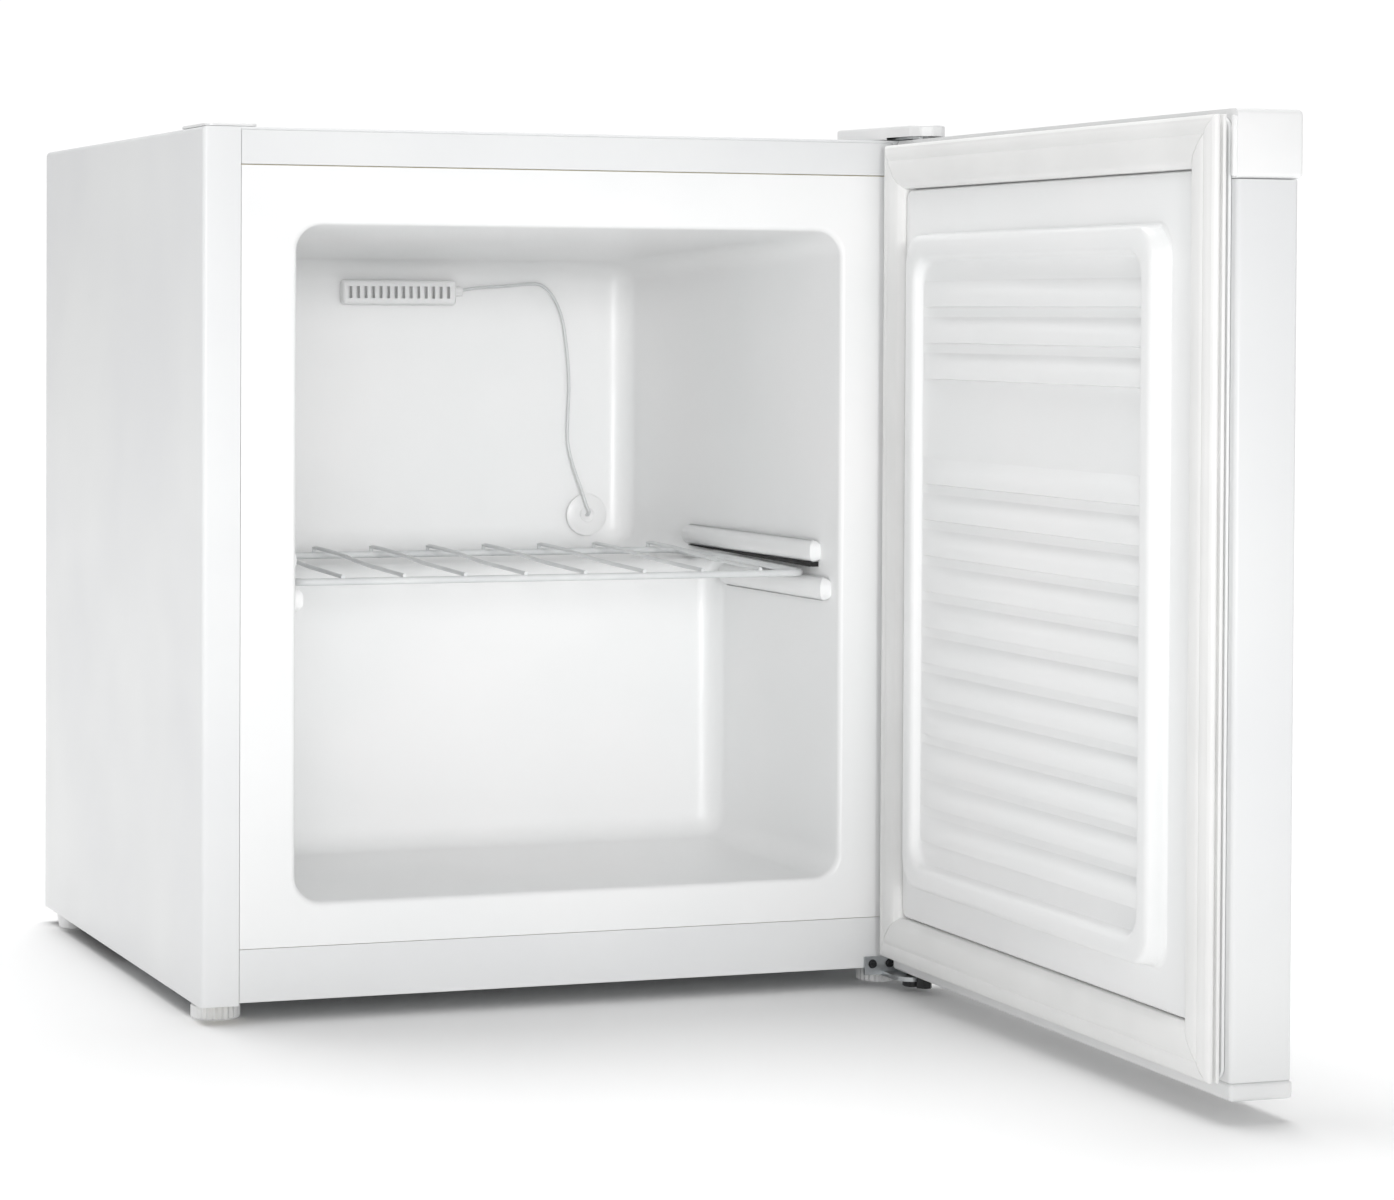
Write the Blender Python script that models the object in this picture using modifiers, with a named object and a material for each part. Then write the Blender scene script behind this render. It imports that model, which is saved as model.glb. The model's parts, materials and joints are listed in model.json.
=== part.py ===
"""Compact box freezer: a 439 x 510 x 470 mm cabinet with one front door, standing open.

Units are metres, +Z is up. The design frame has X = 0 on the cabinet's centre line, Y = 0 on
the front face of the cabinet with +Y towards the back, and Z = 0 on the floor. The door is
modelled closed and then turned about its hinge pins by DOOR_REST_DEG. Everything hangs on one
empty, which moves the design frame so that the part's own origin is at the middle of the
footprint of its box, door included.
"""
import math

import bmesh
import bpy
from mathutils import Matrix, Vector

MM = 0.001
GAP = 0.3 * MM                      # room between pieces that touch

# cabinet, driving dimensions
CAB_W = 439 * MM
CAB_DEPTH = 423 * MM
FOOT_H = 10 * MM
CAB_TOP = 502 * MM
SHEET = 1.2 * MM                    # cabinet and door sheet steel
STILE_W = 22 * MM                   # front flange of the wrap, each side
TOP_SEAM_Z = 481 * MM               # under edge of the top rail
BOTTOM_SEAM_Z = 41.5 * MM           # upper edge of the bottom rail
BASE_Z = 11.7 * MM                  # underside of the base sheets
REAR_FLANGE = 13 * MM
BACK_PANEL_Y = 404.4 * MM           # the back sheet sits in from the rear edge, behind the coil

# freezing compartment
LINER_T = 2 * MM
OPEN_HALF = 165 * MM                # half the width of the door opening
OPEN_BOTTOM = 66.5 * MM
OPEN_TOP = 448 * MM
CAVITY_R = 15 * MM
BACK_HALF = 158 * MM                # half the width at the back wall: the sides draw in
BACK_Y = 353 * MM
FLOOR_REAR_Z = 69 * MM
CEILING_REAR_Z = 433 * MM
HUMP_Y = 191 * MM                   # front of the step over the compressor
HUMP_Z = 243.8 * MM
GUIDE_REACH = 6 * MM

# compressor recess at the lower back
RECESS_Y = 241 * MM
RECESS_Z = 198 * MM

# door, in its closed place
DOOR_W = 438 * MM
DOOR_BACK = -13 * MM
DOOR_FRONT = -47 * MM
DOOR_BOTTOM = 11 * MM
DOOR_TOP = 501.5 * MM
TOP_CAP_Z = 467 * MM
BOTTOM_CAP_Z = 20 * MM
CAP_PROUD = 3 * MM
GASKET_HALF_W = 214.5 * MM
GASKET_Z = (20 * MM, 498.5 * MM)
GASKET_BAND = 26 * MM
GASKET_Y = (-10.9 * MM, -0.3 * MM)
LINER_BACK = -12.7 * MM
LINER_SKIN = -11.2 * MM
PLATEAU_Y = -5.5 * MM
RIDGE_Y = 6 * MM
FIELD_Y = 0.0
RIDGE_HALF_W = 162.3 * MM
RIDGE_Z = (69 * MM, 445 * MM)
RIDGE_BAND = 14.5 * MM

# hinge
PIVOT_X = 205 * MM
PIVOT_Y = -20 * MM
PIN_R = 3.5 * MM
PIN_CLEARANCE = 0.5 * MM
DOOR_REST_DEG = 89.0
TOP_PLATE_Z = 502.3 * MM
COVER_TOP = 510 * MM
LOW_PLATE_Z = 7 * MM
PLATE_T = 2.5 * MM
NOSE_R = 12 * MM

# shelf
SHELF_HALF_W = 157.5 * MM
SHELF_BACK_HALF_W = 146.5 * MM       # narrower over the rear step, clear of its round sides
SHELF_WAIST_Y = (162 * MM, 194 * MM)
SHELF_Y = (35 * MM, 230 * MM)
SHELF_Z = (244.6 * MM, 248 * MM)    # height of the frame wire at the front and at the back
FRAME_WIRE_R = 2.4 * MM
CROSS_WIRE_R = 1.5 * MM
CROSS_WIRES = 8
CROSS_PITCH = 36.7 * MM

# feet
FOOT_X = 204 * MM
FRONT_FOOT_Y = 28 * MM
REAR_FOOT_Y = 392 * MM
FOOT_R = 14 * MM
STUD_R = 4 * MM

# compressor set
COMP_X = -20 * MM
COMP_Y = 330 * MM
COMP_R = 60 * MM
COMP_Z = (29 * MM, 156 * MM)
MOUNT_PITCH = (152 * MM, 84 * MM)
COIL_Y = 413 * MM
COIL_R = 2.4 * MM
COIL_HALF_W = 176 * MM
COIL_RUNS = 11
COIL_Z = 222 * MM
COIL_PITCH = 25 * MM


def start_scene():
    """Clear the scene and return the part's collection and the cutters' collection."""
    for old in list(bpy.data.objects):
        bpy.data.objects.remove(old, do_unlink=True)
    groups = []
    for name in ("compact_freezer", "cutters"):
        group = bpy.data.collections.new(name)
        bpy.context.scene.collection.children.link(group)
        groups.append(group)
    return groups


PART, CUTTERS = start_scene()


def finish(name, colour, roughness, metallic=0.0):
    """A plain Principled material."""
    mat = bpy.data.materials.new(name)
    mat.use_nodes = True
    shader = mat.node_tree.nodes["Principled BSDF"]
    shader.inputs["Base Color"].default_value = (*colour, 1.0)
    shader.inputs["Roughness"].default_value = roughness
    shader.inputs["Metallic"].default_value = metallic
    return mat


WHITE_PAINT = finish("white_painted_steel", (0.86, 0.86, 0.86), 0.35)
WHITE_ABS = finish("white_abs", (0.88, 0.88, 0.88), 0.3)
LINER_PS = finish("white_polystyrene", (0.84, 0.84, 0.84), 0.35)
GASKET_PVC = finish("white_pvc_gasket", (0.84, 0.84, 0.83), 0.5)
WIRE_COAT = finish("coated_wire", (0.78, 0.78, 0.78), 0.3)
ZINC = finish("zinc_plated_steel", (0.62, 0.62, 0.60), 0.35, 1.0)
BLACK_PAINT = finish("black_painted_steel", (0.02, 0.02, 0.02), 0.4)
BLACK_RUBBER = finish("black_rubber", (0.03, 0.03, 0.03), 0.8)
COPPER = finish("copper_tube", (0.72, 0.35, 0.2), 0.3, 1.0)
ALUMINIUM = finish("aluminium_sheet", (0.75, 0.75, 0.76), 0.35, 1.0)
FOAM = finish("polyurethane_foam", (0.75, 0.66, 0.42), 0.9)
GREY_ABS = finish("grey_abs", (0.3, 0.3, 0.31), 0.5)
NYLON = finish("white_nylon", (0.8, 0.8, 0.78), 0.4)


def empty(name, place, parent=None, turn_deg=0.0):
    """An empty at a place in its parent's frame."""
    node = bpy.data.objects.new(name, None)
    node.location = place
    node.rotation_euler.z = math.radians(turn_deg)
    node.parent = parent
    PART.objects.link(node)
    return node


def turned(x, y, deg):
    """A closed-door point after the door has turned about its pins."""
    spin = Matrix.Rotation(math.radians(deg), 3, "Z")
    pivot = Vector((PIVOT_X, PIVOT_Y, 0))
    return pivot + spin @ (Vector((x, y, 0)) - pivot)


def footprint_centre():
    """The middle of the whole part's box, seen from above, with the door at rest."""
    half = DOOR_W / 2
    outer = DOOR_FRONT - CAP_PROUD
    corners = [turned(x, y, DOOR_REST_DEG) for x in (-half, half) for y in (outer, GASKET_Y[1])]
    right = max(point.x for point in corners)
    front = min(point.y for point in corners)
    return Vector(((right - CAB_W / 2) / 2, (front + CAB_DEPTH) / 2, 0))


FRAME = empty("freezer_frame", -footprint_centre())
HINGE = empty("door_hinge_axis", (PIVOT_X, PIVOT_Y, 0), FRAME, DOOR_REST_DEG)
DOOR = empty("door_frame", (-PIVOT_X, -PIVOT_Y, 0), HINGE)


def carry(obj, parent):
    """Set an object's parent, and the same for the shapes that cut or join it."""
    obj.parent = parent
    for step in obj.modifiers:
        if step.type == "BOOLEAN":
            carry(step.object, parent)


def piece(obj, mat, parent=None):
    """Put a finished object into the part."""
    for group in list(obj.users_collection):
        group.objects.unlink(obj)
    PART.objects.link(obj)
    obj.data.materials.clear()
    obj.data.materials.append(mat)
    carry(obj, parent or FRAME)
    return obj


def tool(obj, parent):
    """Keep an object only as a cutter or a joined shape."""
    for group in list(obj.users_collection):
        group.objects.unlink(obj)
    CUTTERS.objects.link(obj)
    carry(obj, parent)
    obj.hide_render = True
    obj.display_type = "WIRE"
    return obj


def boolean(target, other, operation):
    """Add a Boolean modifier; the other shape follows the target's parent."""
    tool(other, target.parent)
    step = target.modifiers.new(operation.lower(), "BOOLEAN")
    step.operation = operation
    step.solver = "EXACT"
    step.object = other
    return target


def cut(target, *others):
    for other in others:
        boolean(target, other, "DIFFERENCE")
    return target


def join(target, *others):
    for other in others:
        boolean(target, other, "UNION")
    return target


def bevel(obj, width, segments=2):
    """Round every edge sharper than 30 degrees."""
    step = obj.modifiers.new("bevel", "BEVEL")
    step.width = width
    step.segments = segments
    step.limit_method = "ANGLE"
    step.angle_limit = math.radians(30)
    return obj


def from_bmesh(name, bm):
    mesh = bpy.data.meshes.new(name)
    bm.to_mesh(mesh)
    bm.free()
    obj = bpy.data.objects.new(name, mesh)
    PART.objects.link(obj)
    return obj


def box(name, xs, ys, zs):
    """A block between two values on each axis."""
    bm = bmesh.new()
    middle = Vector([(low + high) / 2 for low, high in (xs, ys, zs)])
    scale = Matrix.Diagonal([high - low for low, high in (xs, ys, zs)] + [1])
    bmesh.ops.create_cube(bm, size=1, matrix=Matrix.Translation(middle) @ scale)
    return from_bmesh(name, bm)


def fluted(name, radius, dip, flutes, zs):
    """An upright disc whose rim has a row of flutes."""
    bm = bmesh.new()
    middle = Matrix.Translation((0, 0, (zs[0] + zs[1]) / 2))
    bmesh.ops.create_cone(bm, cap_ends=True, segments=4 * flutes, radius1=radius, radius2=radius,
                          depth=zs[1] - zs[0], matrix=middle)
    for vert in bm.verts:
        angle = math.atan2(vert.co.y, vert.co.x)
        place = round(angle / (2 * math.pi) * 4 * flutes) % 4
        if place < 2:
            vert.co.xy *= (radius - dip) / radius
    return from_bmesh(name, bm)


AXIS_TURN = {
    "X": Matrix.Rotation(math.radians(90), 4, "Y"),
    "Y": Matrix.Rotation(math.radians(-90), 4, "X"),
    "Z": Matrix.Identity(4),
}


def rod(name, start, length, radius, axis="Z", sides=20, end_radius=None):
    """A cylinder or cone from its start point along +axis."""
    bm = bmesh.new()
    along = AXIS_TURN[axis] @ Vector((0, 0, length / 2))
    matrix = Matrix.Translation(Vector(start) + along) @ AXIS_TURN[axis]
    far = radius if end_radius is None else end_radius
    bmesh.ops.create_cone(bm, cap_ends=True, segments=sides, radius1=radius, radius2=far,
                          depth=length, matrix=matrix)
    return from_bmesh(name, bm)


def to_mesh(obj):
    """Replace a curve object by its evaluated, welded mesh."""
    name = obj.name
    graph = bpy.context.evaluated_depsgraph_get()
    mesh = bpy.data.meshes.new_from_object(obj.evaluated_get(graph))
    bm = bmesh.new()
    bm.from_mesh(mesh)
    bmesh.ops.remove_doubles(bm, verts=bm.verts, dist=0.01 * MM)
    bmesh.ops.recalc_face_normals(bm, faces=bm.faces)
    bm.to_mesh(mesh)
    bm.free()
    solid = bpy.data.objects.new(name, mesh)
    solid.matrix_world = obj.matrix_world
    bpy.data.objects.remove(obj)
    solid.name = name
    PART.objects.link(solid)
    return solid


PLANE_TURN = {
    "XY": Matrix.Identity(4),
    "XZ": Matrix(((1, 0, 0, 0), (0, 0, -1, 0), (0, 1, 0, 0), (0, 0, 0, 1))),
    "YZ": Matrix(((0, 0, 1, 0), (1, 0, 0, 0), (0, 1, 0, 0), (0, 0, 0, 1))),
}
NORMAL_SIGN = {"XY": 1, "XZ": -1, "YZ": 1}


def slab(name, outline, plane, span):
    """A flat outline in a plane, made solid between two values across that plane."""
    curve = bpy.data.curves.new(name, "CURVE")
    curve.dimensions = "2D"
    curve.fill_mode = "BOTH"
    curve.extrude = (span[1] - span[0]) / 2
    spline = curve.splines.new("POLY")
    spline.points.add(len(outline) - 1)
    for point, (u, v) in zip(spline.points, outline):
        point.co = (u, v, 0, 1)
    spline.use_cyclic_u = True
    obj = bpy.data.objects.new(name, curve)
    PART.objects.link(obj)
    solid = to_mesh(obj)
    middle = NORMAL_SIGN[plane] * (span[0] + span[1]) / 2
    solid.data.transform(PLANE_TURN[plane] @ Matrix.Translation((0, 0, middle)))
    return solid


def rounded(xs, ys, radius, segments=4):
    """The outline of a rectangle with round corners."""
    corners = ((xs[1], ys[1], 0), (xs[0], ys[1], 1), (xs[0], ys[0], 2), (xs[1], ys[0], 3))
    points = []
    for x, y, quarter in corners:
        cx = x - radius * (1 if x == xs[1] else -1)
        cy = y - radius * (1 if y == ys[1] else -1)
        for step in range(segments + 1):
            angle = math.radians(90 * quarter + 90 * step / segments)
            points.append((cx + radius * math.cos(angle), cy + radius * math.sin(angle)))
    return points


def tube(name, points, radius, resolution=2, cyclic=False):
    """A solid tube along a run of points."""
    curve = bpy.data.curves.new(name, "CURVE")
    curve.dimensions = "3D"
    curve.bevel_depth = radius
    curve.bevel_resolution = resolution
    curve.use_fill_caps = not cyclic
    spline = curve.splines.new("POLY")
    spline.points.add(len(points) - 1)
    for point, place in zip(spline.points, points):
        point.co = (*place, 1)
    spline.use_cyclic_u = cyclic
    obj = bpy.data.objects.new(name, curve)
    PART.objects.link(obj)
    return to_mesh(obj)


def lathe(name, profile, place, steps=24):
    """A turned solid: (radius, height) from the top of the axis down its outer side."""
    mesh = bpy.data.meshes.new(name)
    verts = [(radius, 0, height) for radius, height in profile]
    mesh.from_pydata(verts, [(i, i + 1) for i in range(len(verts) - 1)], [])
    obj = bpy.data.objects.new(name, mesh)
    PART.objects.link(obj)
    obj.location = place
    screw = obj.modifiers.new("turn", "SCREW")
    screw.axis = "Z"
    screw.steps = steps
    screw.render_steps = steps
    screw.use_merge_vertices = True
    screw.merge_threshold = 0.01 * MM
    return obj


def smooth_route(stops, per_span):
    """Points on a Catmull-Rom curve through a few stops."""
    stops = [Vector(stop) for stop in stops]
    padded = [2 * stops[0] - stops[1]] + stops + [2 * stops[-1] - stops[-2]]
    points = []
    for i in range(1, len(padded) - 2):
        a, b, c, d = padded[i - 1:i + 3]
        for step in range(per_span):
            t = step / per_span
            points.append(0.5 * (2 * b + (c - a) * t + (2 * a - 5 * b + 4 * c - d) * t ** 2
                                 + (3 * b - a - 3 * c + d) * t ** 3))
    return points + [stops[-1]]


# ---------------------------------------------------------------- cabinet

def cabinet_shell():
    """The painted sheet wrap: both sides, the top, the front stiles and the rear flange."""
    half = CAB_W / 2
    shell = box("cabinet_shell", (-half, half), (0, CAB_DEPTH), (-10 * MM, CAB_TOP))
    bevel(shell, 1.8 * MM)
    inner = half - SHEET
    under = CAB_TOP - SHEET
    stile = half - STILE_W
    rear = half - REAR_FLANGE
    cut(shell,
        box("wrap_inside", (-inner, inner), (SHEET, CAB_DEPTH - SHEET), (-0.02, under)),
        box("wrap_front", (-stile, stile), (-1 * MM, 3 * MM), (-0.03, under + 0.4 * MM)),
        box("wrap_rear", (-rear, rear), (BACK_PANEL_Y, CAB_DEPTH + 1 * MM), (-0.03, 488 * MM)),
        box("wrap_trim", (-1, 1), (-1, 1), (-1, FOOT_H)))
    return piece(shell, WHITE_PAINT)


def front_rails():
    """The top and bottom rails between the stiles."""
    half = CAB_W / 2 - STILE_W - GAP
    top = box("top_rail", (-half, half), (0, 1.5 * MM), (TOP_SEAM_Z + GAP, CAB_TOP - SHEET - GAP))
    piece(bevel(top, 0.3 * MM, 1), WHITE_PAINT)
    lip = BASE_Z + SHEET
    profile = ((0, BASE_Z), (13.7 * MM, BASE_Z), (13.7 * MM, lip), (1.5 * MM, lip),
               (1.5 * MM, BOTTOM_SEAM_Z), (0, BOTTOM_SEAM_Z))
    piece(slab("bottom_rail", profile, "YZ", (-half, half)), WHITE_PAINT)


def side_profile(front_y, grow):
    """The compartment seen from the side, grown outwards by a skin's thickness."""
    return ((front_y, OPEN_BOTTOM - grow), (HUMP_Y + grow, FLOOR_REAR_Z - grow),
            (HUMP_Y + grow, HUMP_Z - grow), (BACK_Y + grow, HUMP_Z - grow),
            (BACK_Y + grow, CEILING_REAR_Z + grow), (front_y, OPEN_TOP + grow))


def cavity_block(name, front_y, grow=0.0):
    """The freezing space as a solid: the side profile with drawn-in sides and round edges."""
    block = slab(name, side_profile(front_y, grow), "YZ", (-1.0, 1.0))
    bm = bmesh.new()
    bm.from_mesh(block.data)
    bmesh.ops.dissolve_limit(bm, angle_limit=math.radians(1), verts=bm.verts, edges=bm.edges)
    for vert in bm.verts:
        half = OPEN_HALF + (BACK_HALF - OPEN_HALF) * vert.co.y / BACK_Y
        vert.co.x = math.copysign(half + grow, vert.co.x)
    inner = [edge for edge in bm.edges
             if any(abs(vert.co.y - front_y) > 0.1 * MM for vert in edge.verts)]
    bmesh.ops.bevel(bm, geom=inner, offset=CAVITY_R + grow, offset_type="OFFSET",
                    segments=3, profile=0.5, affect="EDGES", clamp_overlap=True)
    bm.to_mesh(block.data)
    bm.free()
    return block


def shelf_guide(side, outline, name):
    """A shelf guide on one side wall; it follows the wall's draw."""
    guide = slab(name, outline, "YZ", (-0.5, 0.5))
    for vert in guide.data.vertices:
        wall = OPEN_HALF + (BACK_HALF - OPEN_HALF) * vert.co.y / BACK_Y
        outside = vert.co.x * side > 0
        vert.co.x = side * (wall + LINER_T / 2 if outside else wall - GUIDE_REACH)
    return guide


def inner_liner():
    """One moulded skin: front frame, freezing space with its rear step, and shelf guides."""
    half = CAB_W / 2 - STILE_W - GAP
    liner = box("inner_liner", (-half, half), (0, LINER_T),
                (BOTTOM_SEAM_Z + GAP, TOP_SEAM_Z - GAP))
    space = cavity_block("liner_inside", -5 * MM)
    end = HUMP_Y - CAVITY_R - 4 * MM
    low_front = SHELF_Z[0] - FRAME_WIRE_R - GAP
    upper = ((28 * MM, 252 * MM), (34 * MM, 265 * MM), (236 * MM, 265 * MM), (236 * MM, 252 * MM))
    lower = ((12 * MM, low_front), (18 * MM, 229 * MM), (end, 229 * MM),
             (end, low_front + 2 * MM))
    for side, label in ((-1, "left"), (1, "right")):
        cut(space, shelf_guide(side, upper, f"guide_upper_{label}"),
            shelf_guide(side, lower, f"guide_lower_{label}"))
    join(liner, cavity_block("liner_outside", 1 * MM, LINER_T))
    cut(liner, space)
    return piece(liner, LINER_PS)


def ceiling_z(y):
    """Height of the compartment's ceiling at a depth."""
    front_y = -5 * MM
    return OPEN_TOP + (CEILING_REAR_Z - OPEN_TOP) * (y - front_y) / (BACK_Y - front_y)


def evaporator_outline(near, far):
    """An L of sheet over the ceiling and down the back wall, between two skins."""
    spare = (far - near) / 4
    front = 60 * MM - spare
    low = 275 * MM - spare
    return ((front, ceiling_z(front) + near), (BACK_Y + near, ceiling_z(BACK_Y) + near),
            (BACK_Y + near, low), (BACK_Y + far, low),
            (BACK_Y + far, ceiling_z(BACK_Y) + far), (front, ceiling_z(front) + far))


def evaporator():
    skin = LINER_T + 0.5 * MM
    sheet = slab("evaporator_sheet", evaporator_outline(skin, skin + SHEET), "YZ",
                 (-135 * MM, 135 * MM))
    return piece(sheet, ALUMINIUM)


def cabinet_foam():
    """Insulation poured between the wrap and the liner."""
    half = CAB_W / 2 - SHEET - GAP
    foam = box("cabinet_foam", (-half, half), (LINER_T + GAP, BACK_PANEL_Y - GAP),
               (BASE_Z + SHEET + GAP, CAB_TOP - SHEET - GAP))
    recess = box("recess_space", (-1, 1), (RECESS_Y - GAP, 1), (-1, RECESS_Z + SHEET + GAP))
    far = LINER_T + 0.5 * MM + SHEET + GAP
    pocket = slab("evaporator_pocket", evaporator_outline(LINER_T - 1 * MM, far), "YZ",
                  (-136 * MM, 136 * MM))
    cut(foam, cavity_block("foam_inside", 0, LINER_T + GAP), recess, pocket)
    for side in (-1, 1):
        stud = rod(f"stud_room_{side + 1}", (side * FOOT_X, FRONT_FOOT_Y, 0), 26 * MM,
                   STUD_R + 1 * MM)
        cut(foam, stud)
    return piece(foam, FOAM)


def base_and_back():
    """Base sheet, compressor recess, compressor tray and back sheet."""
    half = CAB_W / 2 - SHEET - GAP
    across = (-half, half)
    base = box("base_panel", across, (14 * MM, RECESS_Y - GAP), (BASE_Z, BASE_Z + SHEET))
    for side in (-1, 1):
        hole = rod(f"base_hole_{side + 1}", (side * FOOT_X, FRONT_FOOT_Y, 0), 20 * MM,
                   STUD_R + 0.5 * MM)
        cut(base, hole)
    piece(base, ZINC)
    floor = BASE_Z + SHEET + GAP
    bent = ((RECESS_Y, floor), (RECESS_Y + SHEET, floor), (RECESS_Y + SHEET, RECESS_Z),
            (BACK_PANEL_Y - GAP, RECESS_Z), (BACK_PANEL_Y - GAP, RECESS_Z + SHEET),
            (RECESS_Y, RECESS_Z + SHEET))
    piece(slab("recess_panel", bent, "YZ", across), ZINC)
    tray = ((RECESS_Y, BASE_Z), (CAB_DEPTH - 2 * MM, BASE_Z), (CAB_DEPTH - 2 * MM, 24 * MM),
            (CAB_DEPTH - 2 * MM - SHEET, 24 * MM), (CAB_DEPTH - 2 * MM - SHEET, BASE_Z + SHEET),
            (RECESS_Y, BASE_Z + SHEET))
    width = (-half + 0.5 * MM, half - 0.5 * MM)
    piece(slab("compressor_base", tray, "YZ", width), BLACK_PAINT)
    back = box("back_panel", across, (BACK_PANEL_Y, BACK_PANEL_Y + SHEET),
               (RECESS_Z, CAB_TOP - SHEET - GAP))
    piece(back, WHITE_PAINT)


def feet():
    """Two screw feet in front and two fixed ones behind."""
    for side, label in ((-1, "left"), (1, "right")):
        axis = empty(f"foot_axis_{label}", (side * FOOT_X, FRONT_FOOT_Y, 0), FRAME)
        foot = fluted(f"front_foot_{label}", FOOT_R, 0.9 * MM, 24, (0, 8.2 * MM))
        piece(foot, WHITE_ABS, axis)
        join(foot, rod(f"foot_collar_{label}", (0, 0, 8 * MM), 1.6 * MM, FOOT_R - 3 * MM),
             rod(f"foot_stud_{label}", (0, 0, 5 * MM), 19 * MM, STUD_R, sides=12))
        low = FOOT_R - 1.5 * MM
        profile = ((0, BASE_Z - GAP), (FOOT_R - 2 * MM, BASE_Z - GAP), (FOOT_R, 9 * MM),
                   (low, 1 * MM), (low - 1 * MM, 0), (0, 0))
        rear = lathe(f"rear_foot_{label}", profile, (side * FOOT_X, REAR_FOOT_Y, 0))
        piece(rear, WHITE_ABS)


# ---------------------------------------------------------------- hinges

def screw_head(name, place, axis, radius, height, mat, parent=None):
    """A pan head with a cross recess; it stands on its seat along the axis."""
    body = rod(name, place, height, radius, axis, 16, radius * 0.72)
    slot = 0.9 * MM
    reach = radius * 0.5
    depth = height * 0.5
    index = "XYZ".index(axis)
    for turn in (0, 1):
        spans = []
        for k in range(3):
            if k == index:
                top = place[k] + height
                spans.append((top - depth, top + height))
            else:
                wide = (k == (index + 1 + turn) % 3)
                spread = reach if wide else slot / 2
                spans.append((place[k] - spread, place[k] + spread))
        cut(body, box(f"{name}_recess_{turn}", *spans))
    return piece(body, mat, parent)


def plate_outline(left, right, rear, nose_r):
    """A hinge plate from above: straight sides and a round nose about the pin."""
    points = [(right, rear), (left, rear)]
    for step in range(9):
        angle = math.radians(180 + 180 * step / 8)
        points.append((PIVOT_X + nose_r * math.cos(angle), PIVOT_Y + nose_r * math.sin(angle)))
    return points


def top_hinge():
    """Steel plate, pin, two screws and a white cover on the top right corner."""
    plate = slab("top_hinge_bracket",
                 plate_outline(196.5 * MM, 215 * MM, 48 * MM, NOSE_R - 5 * MM), "XY",
                 (TOP_PLATE_Z, TOP_PLATE_Z + PLATE_T))
    cut(plate, rod("top_pin_hole", (PIVOT_X, PIVOT_Y, 0.49), 0.03, PIN_R + GAP))
    piece(plate, ZINC)
    seat = TOP_PLATE_Z + PLATE_T + GAP
    pin = lathe("top_hinge_pin", ((0, seat + 2 * MM), (5 * MM, seat + 1.6 * MM), (5 * MM, seat),
                                  (PIN_R, seat), (PIN_R, 484 * MM), (PIN_R - 1 * MM, 483 * MM),
                                  (0, 483 * MM)), (PIVOT_X, PIVOT_Y, 0))
    piece(pin, ZINC)
    for i, y in enumerate((14 * MM, 38 * MM)):
        screw_head(f"top_hinge_screw_{i + 1}", (204 * MM, y, seat), "Z", 4 * MM, 2.2 * MM, ZINC)
    hinge_cover()


def hinge_cover():
    """A long low cap, narrower in front, open below, with its skirt lifted over the door."""
    wall = 1.5 * MM
    outline = ((184 * MM, 54 * MM), (196 * MM, -28 * MM), (200 * MM, -34.5 * MM),
               (207 * MM, -37.5 * MM), (213 * MM, -36 * MM), (217.5 * MM, -31 * MM),
               (219 * MM, -24 * MM), (219 * MM, 51 * MM), (216 * MM, 54 * MM))
    cover = slab("top_hinge_cover", outline, "XY", (TOP_PLATE_Z, COVER_TOP))
    bevel(cover, 1.2 * MM)
    middle_x, middle_y = 204 * MM, 8 * MM
    shrink_x = 1 - wall / (15 * MM)
    shrink_y = 1 - wall / (44 * MM)
    inside = [(middle_x + (x - middle_x) * shrink_x, middle_y + (y - middle_y) * shrink_y)
              for x, y in outline]
    cut(cover, slab("cover_inside", inside, "XY", (0.49, COVER_TOP - wall)),
        box("cover_lift", (0.17, 0.23), (-0.05, -1 * MM), (0.49, 503.6 * MM)))
    return piece(cover, WHITE_ABS)


def blanking_cap():
    """The flat cap over the unused hinge holes on the top left corner."""
    cap = slab("hinge_hole_cap", rounded((-217 * MM, -187 * MM), (3 * MM, 62 * MM), 4 * MM),
               "XY", (CAB_TOP + GAP, CAB_TOP + 1.9 * MM))
    return piece(bevel(cap, 0.5 * MM, 1), WHITE_ABS)


def bottom_hinge():
    """An angle under the right corner, screwed to the front, with the lower pin."""
    top = LOW_PLATE_Z + PLATE_T
    plate = slab("bottom_hinge_bracket", plate_outline(193 * MM, 217 * MM, 12 * MM, NOSE_R),
                 "XY", (LOW_PLATE_Z, top))
    flange = box("hinge_flange", (182 * MM, 204 * MM), (-2 * MM, -GAP),
                 (LOW_PLATE_Z + 0.5 * MM, 18.3 * MM))
    join(plate, flange)
    cut(plate, rod("low_pin_hole", (PIVOT_X, PIVOT_Y, 0), 0.02, PIN_R + GAP))
    piece(plate, ZINC)
    head = LOW_PLATE_Z - GAP
    pin = lathe("bottom_hinge_pin",
                ((0, 27 * MM), (PIN_R - 1 * MM, 27 * MM), (PIN_R, 26 * MM), (PIN_R, head),
                 (6 * MM, head), (6 * MM, 3.4 * MM), (5 * MM, 2.8 * MM), (0, 2.8 * MM)),
                (PIVOT_X, PIVOT_Y, 0))
    piece(pin, BLACK_PAINT)
    for i, x in enumerate((187 * MM, 198 * MM)):
        head = rod(f"bottom_hinge_screw_{i + 1}", (x, -4 * MM, 14 * MM), 1.7 * MM,
                   2 * MM, "Y", 16, 2.7 * MM)
        cut(head, box(f"low_slot_{i}", (x - 2 * MM, x + 2 * MM), (-5 * MM, -3.3 * MM),
                      (13.6 * MM, 14.4 * MM)))
        piece(head, BLACK_PAINT)


# ---------------------------------------------------------------- door

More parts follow.
